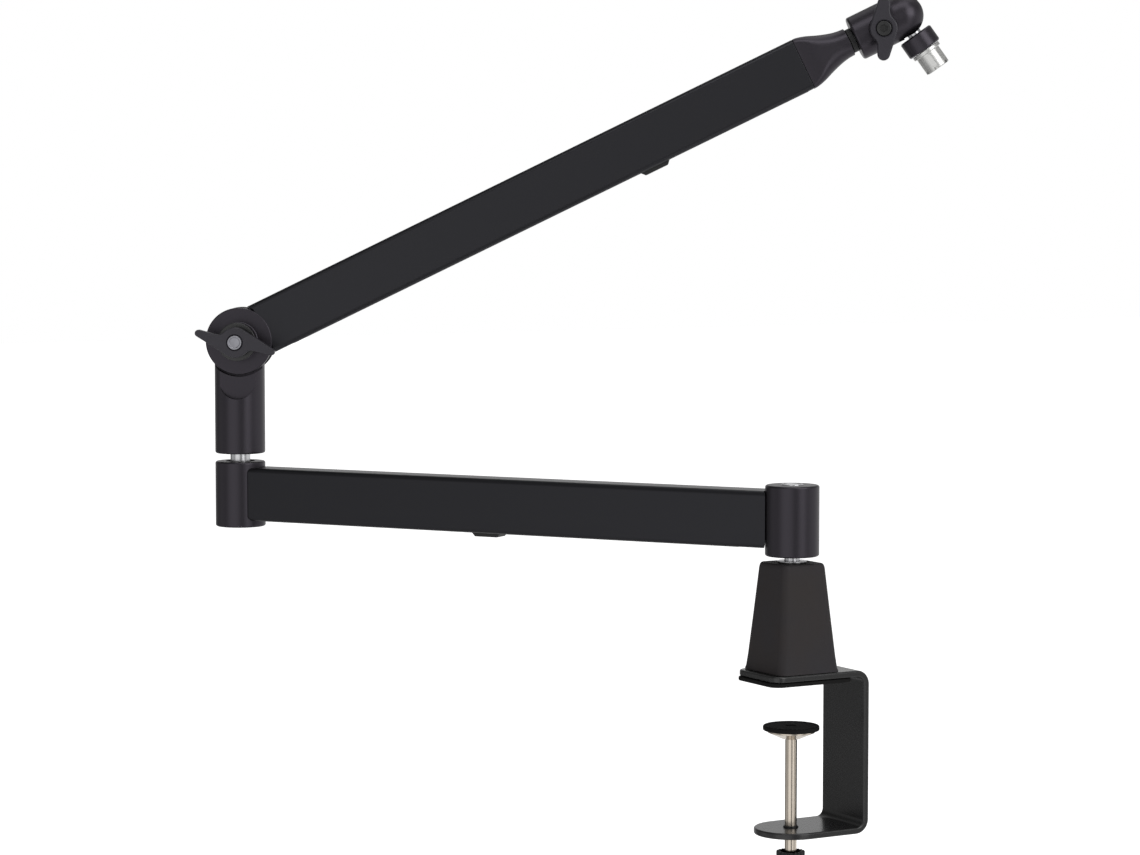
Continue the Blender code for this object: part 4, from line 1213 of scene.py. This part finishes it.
    def neck_sections(self) -> Line:
        """Give the neck's sections, with a small rounding at each end.

        Returns:
            Rows of station, width, height and corner radius, the stations from the profile's end.
        """
        near, far = self.neck_rims
        x, wide, high, corner = self.neck_rows[0]
        rows = [(x + near * (1 - cos(a)), wide - 2 * near * (1 - sin(a)), high - 2 * near * (1 - sin(a)),
                 corner) for a in (0, 0.5, 1.0)]
        middle = smooth_rows(self.neck_rows, 5)
        rows += [(x + near, *middle[0][1:]), *middle[1:-1]]
        x, wide, high, corner = self.neck_rows[-1]
        return rows + [(x - far + far * sin(a), wide - 2 * far * (1 - cos(a)), high - 2 * far * (1 - cos(a)),
                        corner - far * (1 - cos(a))) for a in (0, 0.5, 1.0, pi / 2)]


@dataclass
class WingLever(SubAssembly):
    """A lever cast with two swept wings and a round stem behind them, its axis along Y."""

    turn: float = 40.4
    hub: float = 10.5
    reach: float = 28.4
    wing_half: float = 2.4
    fillet: float = 6.0
    face: float = -35.85
    thick: float = 7.0
    edge: tuple[float, int] = (0.8, 4)  # rounding and its facets
    stem: Point = (9.7, 0.5)  # radius and rounding
    seat: float = -25.05
    bore: float = 5.2

    def cast(self, bore: Line) -> Blank:
        """Cast the wings and the stem behind them, and bore both.

        Args:
            bore: The bore's profile, from the face back.

        Returns:
            The lever, turned to where its wings point.
        """
        outline = wing_outline(self.hub, self.reach, self.wing_half, self.fillet)
        lever = Blank.cut_out(outline, self.face, self.face + self.thick, Along.SIDE)
        lever.eased(*self.edge).moved(Matrix.Rotation(radians(self.turn), 4, "Y"))
        (radius, edge), start = self.stem, self.face + 2
        stem = Blank.turned([(0, start), (radius, start), (radius, self.seat, edge), (0, self.seat)],
                            along=Along.SIDE)
        return lever.worked(stem, "UNION").worked(Blank.turned(bore, along=Along.SIDE))


@dataclass
class ElbowLever(WingLever):
    """The wing lever that tightens the elbow, on the boss of the near ear."""

    def build(self) -> None:
        """Cast the lever and bore it for the bolt."""
        face, back, bore = self.face, self.seat + PAST, self.bore
        lever = self.cast([(0, face - PAST), (bore + 1.6, face - PAST), (bore, face + 0.6), (bore, back),
                           (0, back)])
        self.fit("elbow_wing_lever", lever, LEVER_CASTING, "elbow_lever")


@dataclass
class HeadLever(WingLever):
    """The small lever that squeezes the head, with its socket screw along Y."""

    turn: float = -64.0
    hub: float = 9.6
    reach: float = 22.0
    wing_half: float = 4.3
    fillet: float = 7.0
    face: float = -21.4
    thick: float = 5.4
    edge: tuple[float, int] = (1.3, 5)
    stem: Point = (9.1, 0.4)
    seat: float = -13.9
    bore: float = 3.3
    recess: float = 5.6
    recess_deep: float = 5.2
    screw: float = 3.0
    screw_end: float = 15.2
    screw_head: Point = (5.2, 4.6)  # radius and height
    socket: Point = (2.9, 2.5)  # radius and depth

    def build(self) -> None:
        """Cast the lever with the recess for its screw's head, and turn the screw."""
        face, back, bore, recess = self.face, self.seat + PAST, self.bore, self.recess
        floor = face + self.recess_deep
        lever = self.cast([(0, face - PAST), (recess + 1.8, face - PAST), (recess, face + 0.8),
                           (recess, floor), (bore, floor), (bore, back), (0, back)])
        self.fit("head_lever_casting", lever, LEVER_CASTING, "head_lever")
        (head, tall), (socket, deep), seat = self.screw_head, self.socket, floor - GAP
        screw = Blank.turned([(0, seat - tall), (head, seat - tall, 0.7), (head, seat, 0.2),
                              (self.screw, seat), (self.screw, self.screw_end, 0.6), (0, self.screw_end)],
                             along=Along.SIDE)
        screw.worked(Blank.cut_out(hexagon(socket), seat - tall - PAST, seat - tall + deep, Along.SIDE))
        self.fit("head_socket_screw", screw, COATED_STEEL, "head_lever_screw")


@dataclass
class Head(SubAssembly):
    """The split housing with a slotted dome, on its stem in the neck, +X along the arm."""

    radius: float = 15.6
    start: float = 477.6
    dome: float = 513.7
    edge: float = 1.6
    mill_edge: float = 0.4
    ball_room: float = 10.3
    slot_half: float = 5.4
    slit_half: float = 0.6
    slit_from: float = 14.0
    lever_at: float = 497.3
    lever_drop: float = -2.5
    lever_room: Point = (10.2, -13.6)  # radius and floor
    screw_bore: float = 3.3
    nut: float = 6.2
    nut_ends: Point = (10.0, 14.2)
    nut_room: Point = (6.6, 9.7)  # radius and floor
    stem: float = 5.0
    stem_ends: Point = (455.9, 489.8)
    stem_bore: float = 12.5
    thread: float = 2.8
    thread_end: float = 470.9

    def build(self) -> None:
        """Build the housing, its stem and the nut of its lever screw."""
        self.build_housing()
        near, far = self.stem_ends
        pin = Blank.turned([(0, self.thread_end), (self.thread, self.thread_end), (self.thread, near),
                            (self.stem, near, 0.3), (self.stem, far, 0.6), (0, far)], along=Along.ARM)
        self.fit("neck_stem_pin", pin, TURNED_STEEL, "neck_stem", along=Along.ARM)
        near, far = self.nut_ends
        nut = Blank.cut_out(hexagon(self.nut, on_end=True), near, far, Along.SIDE).eased(0.3, 2)
        nut.worked(Blank.bar(self.screw_bore, near - PAST, far + PAST, Along.SIDE))
        nut.shifted(self.lever_at, 0, self.lever_drop)
        self.fit("head_lever_hexagon", nut, ZINC_PLATE, "head_lever_nut")

    def build_housing(self) -> None:
        """Turn the housing with its dome, and cut its bore, ball room, slot, slit and pockets."""
        r, over, half, start = self.radius, self.radius + 2, self.slot_half, self.start
        place = (self.lever_at, 0, self.lever_drop)
        housing = Blank.turned([(0, start), (r, start, self.edge)] + arc((0, self.dome), r, 0, 90, 28),
                               along=Along.ARM, segments=128)
        slot = [(-half, 0), (-half, -over), (over * 0.85, -over * 0.85), (over, half), (0, half)]
        housing.worked(Blank.cut_out(slot, -half, half, Along.SIDE).shifted(x=self.dome))
        housing.worked(Blank.block((start + self.slit_from, -self.slit_half, -over),
                                   (self.dome + over, self.slit_half, over)))
        room, floor = self.lever_room
        housing.worked(Blank.bar(room, -over, floor, Along.SIDE, 96).shifted(*place))
        housing.eased(self.mill_edge, 2, crumbs=CRUMB,
                      where=lambda e: min(v.co.x for v in e.verts) > start + 3)
        housing.worked(Blank.bar(self.stem + GAP, start - PAST, start + self.stem_bore, Along.ARM))
        ball = Blank.turned(arc((0, 0), self.ball_room, -90, 90, 32), segments=64)
        housing.worked(ball.shifted(x=self.dome))
        housing.worked(Blank.bar(self.screw_bore, -over, over, Along.SIDE).shifted(*place))
        room, floor = self.nut_room
        nut_room = Blank.cut_out(hexagon(room, on_end=True), floor, over, Along.SIDE)
        housing.worked(nut_room.shifted(*place))
        self.fit("head_housing_casting", housing, SATIN_CASTING, "head_housing")


@dataclass
class BallStem(SubAssembly):
    """The ball with its stud, +Z along the stud."""

    ball: float = 10.0
    stud: float = 5.0
    end: float = 39.2

    def build(self) -> None:
        """Turn the ball and its stud in one."""
        neck = degrees(acos(self.stud / self.ball))
        line = arc((0, 0), self.ball, -90, neck, 32) + [(self.stud, self.end, 0.5), (0, self.end)]
        self.fit("ball_and_stud", Blank.turned(line), TURNED_STEEL, "ball_stem")


@dataclass
class LockCollar(SubAssembly):
    """The round collar that locks the adapter on the stud."""

    radius: float = 12.3
    low: float = 15.9
    high: float = 28.2
    bore: float = 5.3
    edge: float = 0.9

    def build(self) -> None:
        """Turn the collar, with a broken edge at both rims."""
        low, high, edge = self.low, self.high, self.edge
        collar = Blank.turned([(self.bore, low, 0.3), (self.radius - edge, low, 0.25),
                               (self.radius, low + edge, 0.35), (self.radius, high - edge, 0.35),
                               (self.radius - edge, high, 0.25), (self.bore, high, 0.3)],
                              ring=True, segments=128)
        self.fit("collar_turned", collar, SATIN_CASTING, "lock_collar")


@dataclass
class ThreadAdapter(SubAssembly):
    """The plated adapter that a microphone clip screws on to, with its flutes and end notches."""

    start: float = 28.5
    end: float = 44.0
    flange: float = 10.5
    flange_thick: float = 2.6
    radius: float = 8.85
    bore: float = 5.3
    bore_end: float = 40.5
    flutes: int = 6
    flute_half: float = 1.85
    flute_deep: float = 0.55
    flute_margins: Point = (1.5, 2.6)  # to the flange and to the end
    notch_half: float = 1.2
    notch_deep: float = 2.0
    notch_wide: float = 3.0
    phase: float = 43.0

    def build(self) -> None:
        """Turn the adapter and mill its flutes and notches."""
        step = self.start + self.flange_thick
        body = Blank.turned([(0, self.bore_end), (self.bore, self.bore_end), (self.bore, self.start, 0.2),
                             (self.flange, self.start, 0.4), (self.flange, step, 0.5),
                             (self.radius, step, 0.3), (self.radius, self.end, 0.8), (0, self.end)],
                            segments=144)
        low, high = step + self.flute_margins[0], self.end - self.flute_margins[1]
        cutter = Blank()
        for number in range(self.flutes):
            flute = Blank.block((self.radius - self.flute_deep, -self.flute_half, low),
                                (self.radius + PAST, self.flute_half, high))
            inner, floor = self.radius - self.notch_wide, self.end - self.notch_deep
            notch = Blank.block((inner, -self.notch_half, floor),
                                (self.radius + PAST, self.notch_half, self.end + PAST))
            turn = Matrix.Rotation(radians(self.phase + 360 * number / self.flutes), 4, "Z")
            cutter.joined(flute.joined(notch).moved(turn))
        self.fit("adapter_turned", body.worked(cutter), SATIN_NICKEL, "thread_adapter")


@dataclass
class ScrewPad(SubAssembly):
    """The rubber pad on the clamp screw's tip, in its bright cup."""

    radius: float = 18.3
    top: float = -28.8
    thick: float = 3.2
    dish: Point = (2.6, 0.35)  # width of the rim round it, and depth
    dimple: Point = (3.4, 0.8)  # radius and depth
    cup: float = 15.5
    cup_height: float = 5.2
    cup_rim: float = 1.0
    cup_foot: float = 6.2
    socket: float = 4.3

    def build(self) -> None:
        """Build the pad with the dish and the dimple in its top, and the cup."""
        (rim, dish), (dimple, floor) = self.dish, self.dimple
        top, low = self.top, self.top - self.thick
        pad = Blank.turned([(0, low), (self.radius, low, 0.8), (self.radius, top, 1.0),
                            (self.radius - rim + 0.4, top - 0.1, 0.3), (self.radius - rim, top - dish, 0.3),
                            (dimple, top - dish, 0.3), (dimple - 0.4, top - floor, 0.2), (0, top - floor)],
                           segments=128)
        self.fit("pad_rubber", pad, MOULDED_RUBBER, "screw_pad")
        high, foot = low - GAP, low - GAP - self.cup_height
        ceiling = high - self.cup_rim - 0.4
        cup = Blank.turned([(0, high), (self.cup, high, 0.2), (self.cup, high - self.cup_rim, 0.4),
                            (self.cup_foot, foot, 0.5), (self.socket, foot, 0.2), (self.socket, ceiling),
                            (0, ceiling)], segments=96)
        self.fit("pad_cup_turned", cup, NICKEL_PLATE, "screw_cup")


@dataclass
class ClampScrew(SubAssembly):
    """The clamp screw with its ribbed grip."""

    radius: float = 3.9
    tip: float = -34.0
    foot: float = -143.0
    grip: float = 9.3
    grip_top: float = -111.0
    grip_low: float = -147.0
    grip_room: Point = (6.6, 3.0)  # radius and depth
    ribs: int = 20
    rib_deep: float = 0.9
    # Where the corners of a rib lie in its pitch: two on its crest, then two at its root.
    rib_shares: tuple[float, ...] = (0.0, 0.35, 0.5, 0.85)

    def build(self) -> None:
        """Build the bright rod and the moulded grip."""
        rod = [(0, self.foot), (self.radius, self.foot, 0.5)]
        rod += arc((0, self.tip - self.radius), self.radius, 0, 90, 12)
        self.fit("screw_rod", Blank.turned(rod), NICKEL_PLATE, "clamp_screw")
        corners = []
        for number in range(self.ribs):
            for share, deep in zip(self.rib_shares, (0.0, 0.0, self.rib_deep, self.rib_deep)):
                angle, reach = 2 * pi * (number + share) / self.ribs, self.grip - deep
                corners.append((reach * cos(angle), reach * sin(angle), 0.3))
        grip = Blank.cut_out(filleted(corners, fineness=20), self.grip_low, self.grip_top)
        bore, low, top, (room, deep) = self.radius + GAP, self.foot - PAST, self.grip_top, self.grip_room
        grip.worked(Blank.turned([(0, low), (bore, low), (bore, top - deep), (room, top - deep),
                                  (room, top - 0.4), (room + 1.0, top + 0.6), (0, top + 0.6)]))
        root = self.grip - self.rib_deep - 0.5
        grip.eased(0.4, 2, angle=60, where=lambda e: abs(e.verts[0].co.z - e.verts[1].co.z) < LEVEL
                   and min(v.co.xy.length for v in e.verts) > root)
        self.fit("grip_moulding", grip, MOULDED_ABS, "clamp_grip")


@dataclass(frozen=True)
class Softbox:
    """A softbox that faces the middle of the stand.

    Attributes:
        name: The light's name.
        bearing: How far it stands to the right of the camera, in degrees as the stand sees it.
        height: Its height, in degrees as the stand sees it.
        distance: How far it is from the stand, in metres.
        size: Its width and height, in metres.
        power: Its power in watts.
    """

    name: str
    bearing: float
    height: float
    distance: float
    size: Point
    power: float


@dataclass
class Studio:
    """The white studio: the photograph's camera, a pale floor and soft lights; lengths in metres."""

    eye: Corner = (-1.1488, -1.7305, 0.3093)
    heading: float = -29.63
    pitch: float = -4.01
    lens: float = 102.1
    floor: float = -0.42
    floor_half: float = 14.0
    middle: Corner = (-0.05, 0.15, 0.2)
    # Bearings from the camera's, in degrees, with the brightness of the tent at each.
    tent: tuple[Point, ...] = (
        (-180, 0.7), (-172, 1.1), (-132, 1.1), (-122, 0.4), (-105, 0.5), (-82, 0.6), (-68, 0.25),
        (-50, 0.15), (-20, 0.7), (0, 0.9), (20, 0.8), (50, 0.8), (70, 0.9), (100, 0.9), (112, 0.4),
        (122, 0.4), (133, 1.25), (151, 1.25), (158, 0.25), (172, 0.25), (180, 0.7))
    tent_fall: tuple[Point, Point] = ((0.1, 1.0), (0.4, 0.45))  # height and share left, twice
    softboxes: tuple[Softbox, ...] = (Softbox("key", 46, 24, 2.3, (1.5, 1.5), 17.0),
                                      Softbox("rims", 8, 62, 2.2, (2.0, 1.0), 12.0),
                                      Softbox("top", 150, 72, 2.2, (2.2, 1.4), 9.0))

    def build(self) -> None:
        """Set up the camera, the floor, the lights and the surroundings."""
        scene = bpy.context.scene
        scene.view_settings.view_transform = "Standard"
        scene.view_settings.look = "None"
        camera = bpy.data.objects.new("camera", bpy.data.cameras.new("camera"))
        scene.collection.objects.link(camera)
        camera.location = self.eye
        camera.rotation_euler = (radians(90 + self.pitch), 0, radians(self.heading))
        camera.data.lens = self.lens
        camera.data.sensor_width = 36.0
        camera.data.sensor_fit = "HORIZONTAL"
        camera.data.clip_end = 50.0
        scene.camera = camera
        self.build_floor()
        self.build_surroundings()
        for softbox in self.softboxes:
            self.hang(softbox)

    def build_floor(self) -> None:
        """Lay a wide pale floor under the stand, lit up to white as in a product photograph."""
        blank = bmesh.new()
        bmesh.ops.create_grid(blank, x_segments=8, y_segments=8, size=self.floor_half)
        bmesh.ops.translate(blank, vec=(0, 0, self.floor), verts=blank.verts)
        data = bpy.data.meshes.new("studio_floor")
        blank.to_mesh(data)
        blank.free()
        sheet = bpy.data.objects.new("studio_floor", data)
        bpy.context.scene.collection.objects.link(sheet)
        paper = bpy.data.materials.new("white_paper")
        paper.use_nodes = True
        shader = paper.node_tree.nodes["Principled BSDF"]
        shader.inputs["Base Color"].default_value = linear("#F4F4F4")
        shader.inputs["Roughness"].default_value = 0.9
        shader.inputs["Emission Color"].default_value = linear("#FFFFFF")
        shader.inputs["Emission Strength"].default_value = 0.85
        data.materials.append(paper)
        sheet.visible_glossy = False

    def build_surroundings(self) -> None:
        """Show the camera a white room, and light the stand with a tent that has dark gaps in it."""
        world = bpy.data.worlds.new("white_room")
        bpy.context.scene.world = world
        world.use_nodes = True
        tree = world.node_tree
        background = tree.nodes["Background"]
        way = add_node(tree, "TexCoord").outputs["Generated"]
        turned = add_node(tree, "VectorRotate", {"Vector": way, "Angle": radians(-self.heading)},
                          rotation_type="Z_AXIS")
        parts = add_node(tree, "SeparateXYZ", {"Vector": turned.outputs["Vector"]})
        bearing = add_node(tree, "Math", {0: parts.outputs["X"], 1: parts.outputs["Y"]}, operation="ARCTAN2")
        share = add_node(tree, "MapRange", {"Value": bearing.outputs["Value"], "From Min": -pi,
                                            "From Max": pi})
        room = add_node(tree, "ValToRGB", {"Fac": share.outputs["Result"]})
        for k, (degree, light) in enumerate(self.tent):
            stop = room.color_ramp.elements[k] if k < 2 else room.color_ramp.elements.new(1.0)
            stop.position, stop.color = degree / 360 + 0.5, (light, light, light, 1)
        (low, full), (high, dim) = self.tent_fall
        fall = add_node(tree, "MapRange", {"Value": parts.outputs["Z"], "From Min": low, "From Max": high,
                                           "To Min": full, "To Max": dim})
        walls = add_node(tree, "Math", {0: room.outputs["Color"], 1: fall.outputs["Result"]},
                         operation="MULTIPLY")
        seen = add_node(tree, "LightPath").outputs["Is Camera Ray"]
        strength = add_node(tree, "Mix", {"Factor": seen, "A": walls.outputs["Value"], "B": 1.0},
                            data_type="FLOAT")
        background.inputs["Color"].default_value = (1, 1, 1, 1)
        tree.links.new(strength.outputs["Result"], background.inputs["Strength"])

    def hang(self, softbox: Softbox) -> None:
        """Hang a softbox.

        Args:
            softbox: The softbox.
        """
        lamp = bpy.data.lights.new(softbox.name, "AREA")
        lamp.shape = "RECTANGLE"
        lamp.size, lamp.size_y = softbox.size
        lamp.energy = softbox.power
        box = bpy.data.objects.new(softbox.name, lamp)
        bpy.context.scene.collection.objects.link(box)
        bearing, height = radians(180 - self.heading - softbox.bearing), radians(softbox.height)
        way = Vector((sin(bearing) * cos(height), cos(bearing) * cos(height), sin(height)))
        box.location = Vector(self.middle) + way * softbox.distance
        box.rotation_euler = (-way).to_track_quat("-Z", "Y").to_euler()
        box.visible_camera = False


def dress_cad_nodes(frame: dict) -> None:
    """Give every carried-over CAD node the finish of its material slot.
    """
    finishes = {f.slot: f for f in (POWDER_COAT, SATIN_CASTING, COATED_STEEL, MOULDED_ABS, MOULDED_RUBBER,
                                    NICKEL_PLATE, TURNED_STEEL, ZINC_PLATE, BLACK_ACETAL, MAGNET_PLATE)}
    slots = {part["node"]: part["material_slot"] for part in frame["record"]["subparts"]}
    for name, node in frame["nodes"].items():
        node.data.materials.clear()
        node.data.materials.append(finishes[slots[name]].build())


def main() -> None:
    """Build the stand's looks, the studio and the camera."""
    logging.basicConfig(level=logging.INFO, format="%(name)s %(message)s")
    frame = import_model()
    LOG.info("%d CAD nodes", len(frame["nodes"]))
    layout = Layout()
    Studio().build()
    for assembly in (DeskClamp("clamp"), Riser("clamp"), ScrewPad("clamp_pad"), ClampScrew("clamp_screw"),
                     LowerArm("lower_arm", layout.lower()), CoverStrip("lower_cover", layout.lower()),
                     ElbowColumn("elbow_column", layout.column()), UpperArm("upper_arm", layout.arm()),
                     CoverStrip("upper_cover", layout.arm(), "upper_cover", 34.0, 433.0, 315.0, 0.0),
                     ElbowLever("elbow_lever", layout.tilt()), Head("head", layout.arm()),
                     HeadLever("head_lever", layout.head_lever()), BallStem("ball_stem", layout.stud()),
                     LockCollar("lock_collar", layout.stud()),
                     ThreadAdapter("thread_adapter", layout.stud())):
        assembly.build()
    dress_cad_nodes(frame)


if __name__ == "__main__":
    main()
